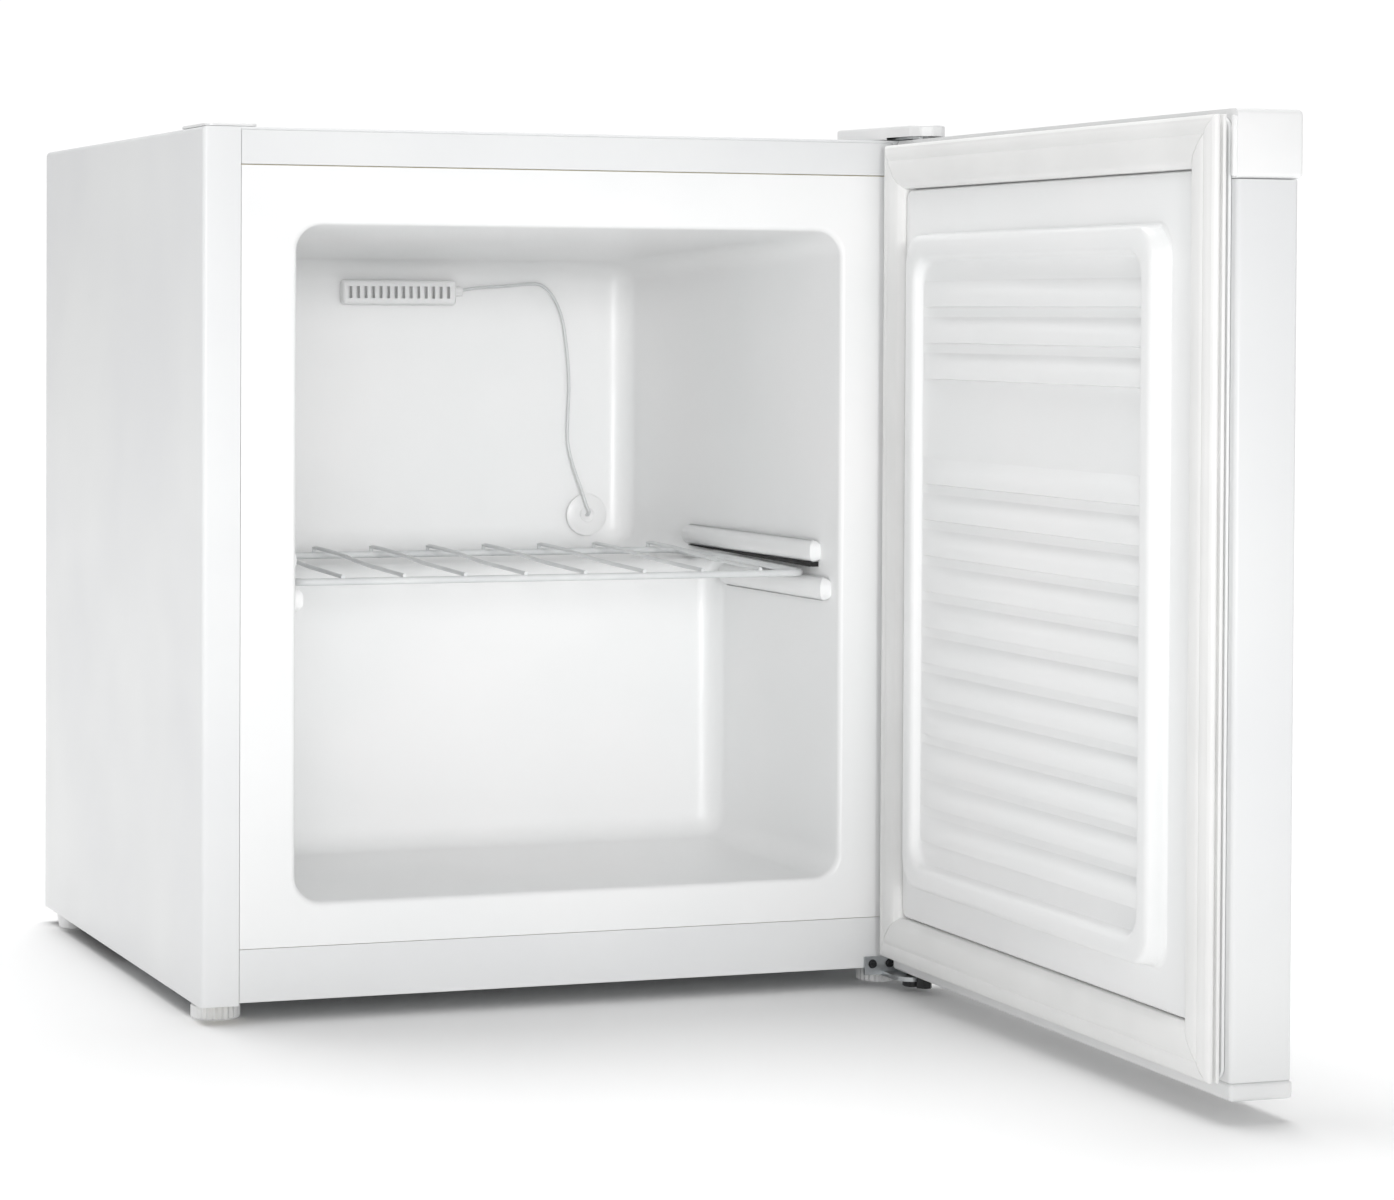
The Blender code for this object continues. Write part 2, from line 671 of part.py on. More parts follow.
def door_panel():
    """The painted door sheet: front, both edges and narrow flanges behind."""
    half = DOOR_W / 2
    zs = (BOTTOM_CAP_Z + GAP, TOP_CAP_Z - GAP)
    panel = box("door_outer_panel", (-half, half), (DOOR_FRONT, DOOR_BACK), (-0.1, 0.6))
    bevel(panel, 2.5 * MM, 3)
    inner = half - SHEET
    flange = half - 12 * MM
    cut(panel,
        box("door_inside", (-inner, inner), (DOOR_FRONT + SHEET, DOOR_BACK - SHEET), (-1, 1)),
        box("door_rear", (-flange, flange), (DOOR_BACK - 3 * MM, 0), (-1, 1)),
        box("door_trim_low", (-1, 1), (-1, 1), (-1, zs[0])),
        box("door_trim_high", (-1, 1), (-1, 1), (zs[1], 1)))
    return piece(panel, WHITE_PAINT, DOOR)


def pin_room(name, low, high):
    """The space that a nylon bush takes in an end cap."""
    return rod(name, (PIVOT_X, PIVOT_Y, low), high - low, 6.4 * MM, sides=20)


def door_caps():
    """The moulded end caps, with the finger grip in the upper one."""
    half = DOOR_W / 2
    front = DOOR_FRONT - CAP_PROUD
    top = box("door_top_cap", (-half, half), (front, DOOR_BACK), (TOP_CAP_Z, DOOR_TOP))
    bevel(top, 2.5 * MM, 3)
    lip = 2 * MM
    for side in (-1, 1):
        xs = sorted((side * half, side * (GASKET_HALF_W + 1 * MM)))
        join(top, box(f"cap_lip_{side + 1}", xs, (DOOR_BACK - 6 * MM, DOOR_BACK + lip),
                      (TOP_CAP_Z, DOOR_TOP - 3 * MM)))
    grip = slab("grip_scoop", rounded((-190 * MM, -80 * MM), (472 * MM, 490 * MM), 8 * MM), "XZ",
                (front - 5 * MM, front + 11 * MM))
    hollow = box("cap_hollow", (-half + 4 * MM, 182 * MM), (-33 * MM, DOOR_BACK - 3 * MM),
                 (TOP_CAP_Z - 5 * MM, DOOR_TOP - 4 * MM))
    piece(top, WHITE_ABS, DOOR)
    cut(top, grip, hollow, pin_room("top_bush_room", 480 * MM, 520 * MM))
    low = box("door_bottom_cap", (-half, half), (DOOR_FRONT - 1 * MM, DOOR_BACK),
              (DOOR_BOTTOM, BOTTOM_CAP_Z))
    piece(bevel(low, 2 * MM, 2), WHITE_ABS, DOOR)
    cut(low, pin_room("low_bush_room", -10 * MM, 30 * MM))


def hinge_bushes():
    """Nylon bushes that the pins turn in."""
    bore = PIN_R + PIN_CLEARANCE
    spans = (("door_bush_top", 480.4 * MM, DOOR_TOP - 0.2 * MM),
             ("door_bush_bottom", DOOR_BOTTOM + 0.2 * MM, 30 * MM))
    for name, low, high in spans:
        bush = rod(name, (PIVOT_X, PIVOT_Y, low), high - low, 6 * MM, sides=20)
        cut(bush, rod(f"{name}_bore", (PIVOT_X, PIVOT_Y, low - 0.01), 0.1, bore, sides=20))
        piece(bush, NYLON, DOOR)


def door_foam():
    """Insulation between the door sheet and the door liner."""
    half = DOOR_W / 2 - SHEET - GAP
    foam = box("door_foam", (-half, half), (DOOR_FRONT + SHEET + GAP, DOOR_BACK - SHEET - GAP),
               (BOTTOM_CAP_Z + GAP, TOP_CAP_Z - GAP))
    core = box("foam_core", (-139 * MM, 139 * MM), (-20 * MM, FIELD_Y - 3.2 * MM),
               (96 * MM, 418 * MM))
    piece(foam, FOAM, DOOR)
    join(foam, core)
    cut(foam, rod("foam_bush_room", (PIVOT_X, PIVOT_Y, 0), 31 * MM, 7 * MM))


RIB_ROWS = (410, 389.5, 369, 309, 288.5, 268, 247.5, 227, 206.5, 186, 165.5, 145, 124.5, 104)


def rib_field():
    """The ribbed middle of the door liner, seen from the side and drawn across."""
    back = FIELD_Y - 2.5 * MM
    outline = [(back, RIDGE_Z[1] - 6 * MM), (back, RIDGE_Z[0] + 6 * MM),
               (FIELD_Y, RIDGE_Z[0] + 6 * MM)]
    for z in reversed(RIB_ROWS):
        for offset, rise in ((-6, 0), (-2.5, 1.8), (2.5, 1.8), (4.5, 0)):
            outline.append((FIELD_Y + rise * MM, (z + offset) * MM))
    outline.append((FIELD_Y, RIDGE_Z[1] - 6 * MM))
    return slab("rib_field", outline, "YZ", (-RIDGE_HALF_W + 6 * MM, RIDGE_HALF_W - 6 * MM))


def door_liner():
    """The moulded inner face: rim, plateau, ridge frame and ribbed field."""
    edge = 213 * MM
    liner = slab("door_liner", rounded((-edge, edge), (21.5 * MM, 497 * MM), 8 * MM), "XZ",
                 (LINER_BACK, LINER_SKIN))
    piece(liner, LINER_PS, DOOR)
    inner = GASKET_HALF_W - GASKET_BAND - GAP
    plateau = slab("plateau", rounded((-inner, inner), (GASKET_Z[0] + GASKET_BAND + GAP,
                                                        GASKET_Z[1] - GASKET_BAND - 3.8 * MM),
                                      6 * MM), "XZ", (LINER_BACK, PLATEAU_Y))
    ridge = slab("ridge", rounded((-RIDGE_HALF_W, RIDGE_HALF_W), RIDGE_Z, 15 * MM), "XZ",
                 (LINER_BACK, RIDGE_Y))
    bevel(ridge, 2.5 * MM, 2)
    inside = RIDGE_HALF_W - RIDGE_BAND
    well = slab("ridge_well", rounded((-inside, inside), (RIDGE_Z[0] + RIDGE_BAND,
                                                          RIDGE_Z[1] - RIDGE_BAND), 9 * MM),
                "XZ", (FIELD_Y - 1.5 * MM, 0.1))
    join(liner, plateau, ridge)
    cut(liner, well)
    join(liner, rib_field())
    cut(liner, box("liner_hollow", (-140 * MM, 140 * MM), (-0.03, FIELD_Y - 2.5 * MM),
                   (95 * MM, 419 * MM)))


def door_gasket():
    """Magnetic seal: a mitred frame whose outer lip falls away so that it clears the cabinet."""
    xs = (-GASKET_HALF_W, GASKET_HALF_W)
    seal = slab("door_gasket", rounded(xs, GASKET_Z, 3 * MM, 2), "XZ",
                (GASKET_Y[0], -3.3 * MM))
    piece(seal, GASKET_PVC, DOOR)
    steps = ((0.2, 3.5, -3.31, -1.8), (3.5, 7.2, -1.81, -0.75), (7.2, 10, -0.76, -0.3))
    for i, (outer, inner, low, high) in enumerate(steps):
        join(seal, frustum(f"seal_step_{i}", outer * MM, inner * MM, low * MM, high * MM))
    band = GASKET_BAND
    cut(seal, slab("seal_window", rounded((xs[0] + band, xs[1] - band),
                                          (GASKET_Z[0] + band, GASKET_Z[1] - band - 3.5 * MM),
                                          4 * MM, 2), "XZ", (-0.05, 0.05)))
    lane = 1.2 * MM
    for i, inset in enumerate((13 * MM, 20 * MM)):
        outer = slab(f"seal_lane_{i}", rounded((xs[0] + inset, xs[1] - inset),
                                               (GASKET_Z[0] + inset, GASKET_Z[1] - inset),
                                               1 * MM, 1), "XZ", (-1.3 * MM, 1 * MM))
        inner = slab(f"seal_lane_core_{i}",
                     rounded((xs[0] + inset + lane, xs[1] - inset - lane),
                             (GASKET_Z[0] + inset + lane, GASKET_Z[1] - inset - lane),
                             1 * MM, 1), "XZ", (-0.05, 0.05))
        cut(outer, inner)
        cut(seal, outer)


def frustum(name, outer, inner, low, high):
    """A rectangular step of the seal: wide at its back, narrower in front."""
    bm = bmesh.new()
    bmesh.ops.create_cube(bm, size=1)
    for vert in bm.verts:
        inset = inner if vert.co.y > 0 else outer
        vert.co.x = math.copysign(GASKET_HALF_W - inset, vert.co.x)
        vert.co.z = GASKET_Z[1] - inset if vert.co.z > 0 else GASKET_Z[0] + inset
        vert.co.y = high if vert.co.y > 0 else low
    return from_bmesh(name, bm)


def door_stop():
    """Hexagon bolt under the door that meets the lower plate at full opening."""
    bolt = rod("door_stop_bolt", (PIVOT_X - 18 * MM, PIVOT_Y, 4.4 * MM), 6.3 * MM, 4.8 * MM,
               sides=6)
    piece(bolt, BLACK_PAINT, DOOR)


# ---------------------------------------------------------------- inside

def shelf_route():
    """The frame wire's centre line: a rectangle with round corners and a waist behind."""
    front = rounded((-SHELF_HALF_W, SHELF_HALF_W), SHELF_Y, 12 * MM, 4)
    back = rounded((-SHELF_BACK_HALF_W, SHELF_BACK_HALF_W), SHELF_Y, 10 * MM, 4)
    middle = (SHELF_Y[0] + SHELF_Y[1]) / 2
    behind = [point for point in back if point[1] > middle]
    before = [point for point in front if point[1] < middle]
    sides = [(SHELF_BACK_HALF_W, SHELF_WAIST_Y[1]), (SHELF_HALF_W, SHELF_WAIST_Y[0])]
    left = [(-x, y) for x, y in sides]
    slope = (SHELF_Z[1] - SHELF_Z[0]) / (SHELF_Y[1] - SHELF_Y[0])
    return [(x, y, SHELF_Z[0] + slope * (y - SHELF_Y[0]))
            for x, y in behind + left + before + sides[::-1]]


def wire_shelf():
    """A bent wire frame with cross wires that lie on it and hook down over its back."""
    route = shelf_route()
    shelf = tube("wire_shelf", route, FRAME_WIRE_R, cyclic=True)
    piece(shelf, WIRE_COAT)
    lift = FRAME_WIRE_R + 0.3 * MM
    for i in range(CROSS_WIRES):
        x = (i - (CROSS_WIRES - 1) / 2) * CROSS_PITCH
        back_z = SHELF_Z[1] + lift + 2.2 * MM
        run = ((x, SHELF_Y[0] - 1 * MM, SHELF_Z[0] + lift), (x, 120 * MM, SHELF_Z[0] + lift + 2 * MM),
               (x, SHELF_Y[1] - 1 * MM, back_z), (x, SHELF_Y[1] + 1.2 * MM, back_z - 1.2 * MM),
               (x, SHELF_Y[1] + 1.6 * MM, SHELF_Z[1] - 0.5 * MM))
        join(shelf, tube(f"cross_wire_{i}", run, CROSS_WIRE_R))


SLOT_COUNT = 14
SLOT_PITCH = 5.1 * MM
SLOT_FIRST_X = -37.1 * MM
CLIP_Z = 412 * MM


def sensor_clip():
    """The slotted holder of the thermostat's feeler on the back wall."""
    back = BACK_Y - 2 * GAP
    front = back - 9 * MM
    clip = box("sensor_clip", (-42 * MM, 35 * MM), (front, back), (CLIP_Z - 9.5 * MM, CLIP_Z + 9.5 * MM))
    piece(bevel(clip, 1.5 * MM, 2), WHITE_ABS)
    join(clip, rod("clip_nozzle", (33 * MM, back - 4.5 * MM, CLIP_Z + 1 * MM), 6 * MM, 3 * MM,
                   "X", 12))
    for i in range(SLOT_COUNT):
        x = SLOT_FIRST_X + i * SLOT_PITCH
        cut(clip, box(f"clip_slot_{i}", (x - 1.3 * MM, x + 1.3 * MM),
                      (front - 1 * MM, front + 5 * MM), (CLIP_Z - 3.7 * MM, CLIP_Z + 3.7 * MM)))
    bore = rod("nozzle_bore", (37 * MM, back - 4.5 * MM, CLIP_Z + 1 * MM), 4 * MM, 1.7 * MM,
               "X", 12)
    cut(clip, bore)


TUBE_STOPS = ((38, 348.2, 413), (50, 347.5, 415.3), (72, 348, 416.8), (89, 349, 418.3),
              (97, 349.5, 416.6), (104, 350, 409.6), (110, 350, 396), (113.4, 350, 376),
              (115.2, 350, 352), (114.4, 350, 328), (114.4, 349, 312), (117.6, 347, 297),
              (122, 345.4, 284), (125.6, 344, 272), (127.5, 343.2, 267.4), (127.5, 345.6, 265),
              (127.5, 350, 265))
GROMMET = (127.5 * MM, 265 * MM)


def feeler_tube():
    """The thermostat's feeler tube, from the clip down into the rear wall grommet."""
    stops = [Vector(stop) * MM for stop in TUBE_STOPS]
    piece(tube("feeler_tube", smooth_route(stops, 3), 1.2 * MM), WIRE_COAT)
    back = BACK_Y - GAP
    profile = ((0, 5 * MM), (12.6 * MM, 5 * MM), (14 * MM, 4.2 * MM), (14 * MM, 3.4 * MM),
               (11 * MM, 1.6 * MM), (6 * MM, 0), (0, 0))
    disc = lathe("tube_grommet", profile, (GROMMET[0], back, GROMMET[1]), 28)
    disc.rotation_euler = (math.radians(90), 0, 0)
    cut(disc, rod("grommet_bore", (GROMMET[0], 0.34, GROMMET[1]), 0.02, 1.9 * MM, "Y", 12))
    piece(disc, WHITE_ABS)


# ---------------------------------------------------------------- refrigeration

def compressor():
    """Welded pot, cross bars, rubber mounts and the relay cover."""
    low, high = COMP_Z
    middle = (low + high) / 2
    profile = [(0, high)]
    for step in range(1, 6):
        angle = math.radians(90 - 18 * step)
        profile.append((COMP_R * math.cos(angle), high - 30 * MM + 30 * MM * math.sin(angle)))
    profile += [(COMP_R, middle + 3 * MM), (COMP_R + 3 * MM, middle + 3 * MM),
                (COMP_R + 3 * MM, middle - 3 * MM), (COMP_R, middle - 3 * MM),
                (COMP_R, low + 14 * MM), (COMP_R - 14 * MM, low), (0, low)]
    pot = lathe("compressor", profile, (COMP_X, COMP_Y, 0), 32)
    piece(pot, BLACK_PAINT)
    bar = slab("compressor_feet",
               rounded((COMP_X - MOUNT_PITCH[0] / 2 - 14 * MM, COMP_X + MOUNT_PITCH[0] / 2 + 14 * MM),
                       (COMP_Y - MOUNT_PITCH[1] / 2 - 12 * MM, COMP_Y + MOUNT_PITCH[1] / 2 + 12 * MM),
                       10 * MM), "XY", (26 * MM, low - GAP))
    piece(bar, BLACK_PAINT)
    index = 1
    for dx in (-1, 1):
        for dy in (-1, 1):
            place = (COMP_X + dx * MOUNT_PITCH[0] / 2, COMP_Y + dy * MOUNT_PITCH[1] / 2)
            seat = BASE_Z + SHEET + GAP
            top = 26 * MM - GAP
            waist = (seat + top) / 2
            rubber = lathe(f"rubber_mount_{index}",
                           ((0, top), (8 * MM, top), (8 * MM, top - 3 * MM), (6 * MM, waist),
                            (9 * MM, seat + 3 * MM), (9 * MM, seat), (0, seat)),
                           (*place, 0), 16)
            piece(rubber, BLACK_RUBBER)
            index += 1
    relay = box("relay_cover", (COMP_X + COMP_R + 4 * MM, COMP_X + COMP_R + 34 * MM),
                (COMP_Y - 26 * MM, COMP_Y + 26 * MM), (55 * MM, 115 * MM))
    piece(bevel(relay, 3 * MM), BLACK_PAINT)
    gland = rod("mains_gland", (COMP_X + COMP_R + 19 * MM, COMP_Y + 26.3 * MM, 68 * MM), 9 * MM,
                6.5 * MM, "Y", 16, 5.5 * MM)
    cut(gland, rod("gland_bore", (COMP_X + COMP_R + 19 * MM, COMP_Y, 68 * MM), 0.1, 3.6 * MM,
                   "Y", 12))
    piece(gland, BLACK_RUBBER)
    drip_tray()


def drip_tray():
    """The tray on top of the pot that the melt water dries off in."""
    seat = COMP_Z[1] + GAP
    tray = box("drip_tray", (COMP_X - 66 * MM, COMP_X + 66 * MM),
               (COMP_Y - 52 * MM, COMP_Y + 52 * MM), (seat, seat + 18 * MM))
    bevel(tray, 3 * MM)
    cut(tray, box("tray_inside", (COMP_X - 64 * MM, COMP_X + 64 * MM),
                  (COMP_Y - 50 * MM, COMP_Y + 50 * MM), (seat + 2 * MM, 1)))
    piece(tray, GREY_ABS)


def condenser():
    """Serpentine tube behind the back sheet, held on two straps."""
    bend = COIL_PITCH / 2
    points = []
    for run in range(COIL_RUNS):
        side = 1 if run % 2 == 0 else -1
        z = COIL_Z + run * COIL_PITCH
        points.append((-side * COIL_HALF_W, COIL_Y, z))
        points.append((side * COIL_HALF_W, COIL_Y, z))
        if run == COIL_RUNS - 1:
            break
        for step in range(1, 5):
            angle = math.radians(-90 + 180 * step / 5)
            points.append((side * (COIL_HALF_W + bend * math.cos(angle)), COIL_Y,
                           z + bend + bend * math.sin(angle)))
    piece(tube("condenser_coil", points, COIL_R), BLACK_PAINT)
    for side, label in ((-1, "left"), (1, "right")):
        strap = box(f"condenser_strap_{label}", sorted((side * 144 * MM, side * 156 * MM)),
                    (BACK_PANEL_Y + SHEET + GAP, COIL_Y - COIL_R - GAP), (212 * MM, 486 * MM))
        piece(strap, BLACK_PAINT)


def pipes():
    """Discharge pipe to the coil with its drier, and the suction pipe into the back."""
    out_x = COMP_X - 30 * MM
    discharge = smooth_route(((out_x, COMP_Y + COMP_R - 4 * MM, 60 * MM),
                              (out_x, COMP_Y + COMP_R + 12 * MM, 60 * MM),
                              (out_x - 30 * MM, COIL_Y - 8 * MM, 74 * MM),
                              (-150 * MM, COIL_Y - 4 * MM, 110 * MM),
                              (-184 * MM, COIL_Y, 150 * MM), (-188 * MM, COIL_Y, 190 * MM),
                              (-184 * MM, COIL_Y, 213 * MM)), 4)
    discharge = [point for point in discharge if point.y > COMP_Y + COMP_R - 3 * MM]
    piece(tube("discharge_pipe", discharge, 2.4 * MM), COPPER)
    drier = lathe("filter_drier", ((0, 150 * MM), (3 * MM, 149 * MM), (8 * MM, 142 * MM),
                                   (8 * MM, 82 * MM), (3 * MM, 75 * MM), (0, 74 * MM)),
                  (116 * MM, 390 * MM, 0), 16)
    piece(drier, COPPER)
    back = BACK_PANEL_Y - 12 * MM
    suction = smooth_route(((COMP_X + 28 * MM, COMP_Y + COMP_R - 2 * MM, 62 * MM),
                            (COMP_X + 30 * MM, COMP_Y + COMP_R + 8 * MM, 64 * MM),
                            (48 * MM, back, 90 * MM), (84 * MM, back, 140 * MM),
                            (96 * MM, back, 180 * MM), (96 * MM, back, 197 * MM)), 4)
    suction = [point for point in suction if point.y > COMP_Y + COMP_R - 3 * MM]
    piece(tube("suction_pipe", suction, 3 * MM), COPPER)


def thermostat():
    """Switch housing in the recess, with the temperature knob facing backwards."""
    x, z = 160 * MM, 165 * MM
    face = 400 * MM
    housing = box("thermostat_housing", (x - 28 * MM, x + 28 * MM), (face - 44 * MM, face),
                  (z - 24 * MM, RECESS_Z - GAP))
    piece(bevel(housing, 2 * MM), GREY_ABS)
    axis = empty("knob_axis", (x, face, z), FRAME)
    knob = fluted("temperature_knob", 17 * MM, 0.8 * MM, 12, (0.4 * MM, 14 * MM))
    knob.data.transform(AXIS_TURN["Y"])
    piece(bevel(knob, 0.8 * MM, 1), WHITE_ABS, axis)
    pointer = box("pointer_slot", (-0.9 * MM, 0.9 * MM), (13 * MM, 16 * MM), (6 * MM, 15 * MM))
    cut(knob, pointer)


cabinet_shell()
front_rails()
inner_liner()
evaporator()
cabinet_foam()
base_and_back()
feet()
top_hinge()
blanking_cap()
bottom_hinge()
door_panel()
door_caps()
hinge_bushes()
door_foam()
door_liner()
door_gasket()
door_stop()
wire_shelf()
sensor_clip()
feeler_tube()
compressor()
condenser()
pipes()
thermostat()

for part in PART.objects:
    if part.type == "MESH":
        part.data.shade_smooth()
        part.data.set_sharp_from_angle(angle=math.radians(30))
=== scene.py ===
"""A compact cube freezer with its door open: the visible pieces, finishes, light and camera.

Places are in the cabinet's own millimetres, through at(): X 0 is its centre line, Y 0 its
front face and Z 0 the floor. The door is modelled closed and then turned on its hinge.
"""
import json
import math

import bmesh
import bpy
from mathutils import Matrix, Vector


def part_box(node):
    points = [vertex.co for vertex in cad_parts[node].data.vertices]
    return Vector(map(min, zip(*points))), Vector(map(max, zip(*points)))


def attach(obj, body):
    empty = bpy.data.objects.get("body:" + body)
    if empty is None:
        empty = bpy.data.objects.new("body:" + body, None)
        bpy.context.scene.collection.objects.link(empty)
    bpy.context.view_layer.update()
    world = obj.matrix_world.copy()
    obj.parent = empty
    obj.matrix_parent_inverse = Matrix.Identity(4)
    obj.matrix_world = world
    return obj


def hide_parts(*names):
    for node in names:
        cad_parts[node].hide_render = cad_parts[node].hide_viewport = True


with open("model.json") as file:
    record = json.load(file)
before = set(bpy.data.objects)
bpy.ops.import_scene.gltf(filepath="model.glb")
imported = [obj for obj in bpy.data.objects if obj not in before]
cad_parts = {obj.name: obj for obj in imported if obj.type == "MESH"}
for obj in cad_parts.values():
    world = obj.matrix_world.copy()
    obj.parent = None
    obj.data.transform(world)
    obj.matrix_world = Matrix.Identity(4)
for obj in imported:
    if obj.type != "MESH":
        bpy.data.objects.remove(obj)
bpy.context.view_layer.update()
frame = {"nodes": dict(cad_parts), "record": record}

MM = 0.001
SHELL_LOW, SHELL_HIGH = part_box("cabinet_shell")
CENTRE_X = (SHELL_LOW.x + SHELL_HIGH.x) / 2
FRONT_Y = SHELL_LOW.y
JOINTS = {joint["name"]: joint for joint in frame["record"]["behaviour"]["joints"]}
PIVOT = Vector(JOINTS["door_hinge"]["pos_m"])
OPEN_DEG = -JOINTS["door_hinge"]["range_deg"][0]

# cabinet
HALF_W = 219.5
DEPTH = 423
BASE = 10
TOP = 502
STILE = 197.5                # half the width between the front stiles
SHEET = 1.2
SEAM_Z = (41.8, 480.7)       # where the liner's flange meets the bottom and top rails
FOOT_X = 204
FRONT_FOOT_Y = 28
REAR_FOOT_Y = 392
# cavity
OPEN_HALF = 165
OPEN_Z = (66.5, 448)
BACK_HALF = 158
BACK = 353
CEILING_REAR = 433
FLOOR_REAR = 69
STEP_Y = 191
STEP_Z = 243.8
CAVITY_R = 15
# door
DOOR_HALF = 219
DOOR_Y = (-47, -13)
CAP_SEAM = 467
SILL_SEAM = 20
SEAL_HALF = 214.5
SEAL_Z = (20, 498.5)
SEAL_BAND = 26
RIDGE_HALF = 162.3
RIDGE_Z = (69, 445)
RIDGE_BAND = 14.5
RIB_ROWS = (410, 389.5, 369, 309, 288.5, 268, 247.5, 227, 206.5, 186, 165.5, 145, 124.5, 104)
HINGE_AXIS = (205, -20, 0)
BUSH_ROOM_R = 5.8
# shelf guides
GUIDE_UPPER_Z = (250.8, 264.4)
GUIDE_LOWER_Z = (229, 243)


def at(x, y, z):
    """A place in the cabinet's millimetres, in metres in the shared frame."""
    return Vector((CENTRE_X + x * MM, FRONT_Y + y * MM, z * MM))


# ---------------------------------------------------------------- camera, light and floor

def camera():
    """Low front three-quarter view from the left, with a long lens."""
    yaw, pitch, roll = (math.radians(angle) for angle in (21.262, 1.302, 0.312))
    ahead = Vector((math.sin(yaw) * math.cos(pitch), math.cos(yaw) * math.cos(pitch),
                    -math.sin(pitch)))
    level = Vector((math.cos(yaw), -math.sin(yaw), 0))
    upright = level.cross(ahead)
    right = math.cos(roll) * level + math.sin(roll) * upright
    up = math.cos(roll) * upright - math.sin(roll) * level
    data = bpy.data.cameras.new("camera")
    data.sensor_width = 36
    data.lens = 106.21
    data.shift_x = -0.0336
    data.shift_y = -0.1372
    made = bpy.data.objects.new("camera", data)
    bpy.context.scene.collection.objects.link(made)
    turn = Matrix((right, up, -ahead)).transposed().to_4x4()
    made.matrix_world = Matrix.Translation((-0.7756, -2.2293, 0.3983)) @ turn
    bpy.context.scene.camera = made


def lamp(name, kind, place, watts, **settings):
    """A light that faces the middle of the cavity."""
    data = bpy.data.lights.new(name, kind)
    data.energy = watts
    for key, value in settings.items():
        setattr(data, key, value)
    made = bpy.data.objects.new(name, data)
    bpy.context.scene.collection.objects.link(made)
    made.location = place
    aim = Vector((0, 0.1, 0.27)) - Vector(place)
    made.rotation_euler = aim.to_track_quat("-Z", "Y").to_euler()


def overhead(strength, spread_deg, tilt_deg):
    """A very soft sun, tilted to shine from behind so that the shadow falls forward."""
    data = bpy.data.lights.new("overhead", "SUN")
    data.energy = strength
    data.angle = math.radians(spread_deg)
    made = bpy.data.objects.new("overhead", data)
    bpy.context.scene.collection.objects.link(made)
    made.rotation_euler = (math.radians(-tilt_deg), 0, 0)


def studio():
    """White surround that shows brighter than it lights, soft boxes and a pale floor."""
    world = bpy.data.worlds.new("white_surround")
    bpy.context.scene.world = world
    world.use_nodes = True
    tree = world.node_tree
    glow = tree.nodes["Background"]
    glow.inputs["Strength"].default_value = 0.47
    seen = add(tree, "ShaderNodeBackground", {"Strength": 1.05})
    ray = add(tree, "ShaderNodeLightPath")
    both = add(tree, "ShaderNodeMixShader", links={0: ray.outputs["Is Camera Ray"],
                                                   1: glow.outputs[0], 2: seen.outputs[0]})
    for shade in (glow, seen):
        shade.inputs["Color"].default_value = (1, 1, 1, 1)
    tree.links.new(both.outputs[0], tree.nodes["World Output"].inputs["Surface"])
    lamp("front_box", "AREA", (-0.8, -2.8, 0.45), 14, shape="SQUARE", size=1.0)
    lamp("cavity_beam", "SPOT", (-0.5, -2.8, 0.6), 165, spot_size=math.radians(13),
         spot_blend=1.0, shadow_soft_size=0.3)
    overhead(2.2, 50, 24)
    bpy.ops.object.select_all(action="DESELECT")
    bpy.ops.mesh.primitive_plane_add(size=60)
    floor = bpy.context.object
    floor.name = "floor"
    floor.data.materials.append(matte_floor())
    bpy.context.scene.view_settings.view_transform = "Standard"


# ---------------------------------------------------------------- finishes

def linear(code):
    """An sRGB hex colour as linear red, green, blue and alpha."""
    parts = [int(code[i:i + 2], 16) / 255 for i in (1, 3, 5)]
    return tuple(c / 12.92 if c <= 0.04045 else ((c + 0.055) / 1.055) ** 2.4
                 for c in parts) + (1.0,)


def add(tree, kind, settings=None, links=None):
    """Add one node: settings by input or attribute name, links from other nodes' sockets."""
    made = tree.nodes.new(kind)
    for name, value in (settings or {}).items():
        if name in made.inputs:
            made.inputs[name].default_value = value
        else:
            setattr(made, name, value)
    for name, source in (links or {}).items():
        tree.links.new(source, made.inputs[name])
    return made


def finish(name, settings):
    """A new Principled material: its tree, its shader and its object coordinates."""
    mat = bpy.data.materials.new(name)
    mat.use_nodes = True
    tree = mat.node_tree
    shader = tree.nodes["Principled BSDF"]
    for key, value in settings.items():
        shader.inputs[key].default_value = value
    where = add(tree, "ShaderNodeTexCoord").outputs["Object"]
    return mat, tree, shader, where


def speckle(tree, where, size_mm, detail=3.0):
    """Noise whose blotches are about a given size across."""
    return add(tree, "ShaderNodeTexNoise", {"Scale": 1000 / size_mm, "Detail": detail},
               {"Vector": where}).outputs["Fac"]


def two_tone(tree, shader, factor, low, high, from_min=0.35, from_max=0.65):
    """Colour between two tones by a factor."""
    span = add(tree, "ShaderNodeMapRange", {"From Min": from_min, "From Max": from_max},
               {"Value": factor})
    blend = add(tree, "ShaderNodeMix", {"data_type": "RGBA"}, {"Factor": span.outputs[0]})
    blend.inputs[6].default_value = linear(low)
    blend.inputs[7].default_value = linear(high)
    tree.links.new(blend.outputs[2], shader.inputs["Base Color"])


def vary_gloss(tree, shader, factor, low, high):
    """Roughness between two values by a factor."""
    span = add(tree, "ShaderNodeMapRange", {"From Min": 0.3, "From Max": 0.7, "To Min": low,
                                            "To Max": high}, {"Value": factor})
    tree.links.new(span.outputs[0], shader.inputs["Roughness"])


def relief(tree, shader, height, depth_mm, strength=1.0):
    """Surface relief of a real depth."""
    bump = add(tree, "ShaderNodeBump", {"Distance": depth_mm * MM, "Strength": strength},
               {"Height": height})
    tree.links.new(bump.outputs["Normal"], shader.inputs["Normal"])


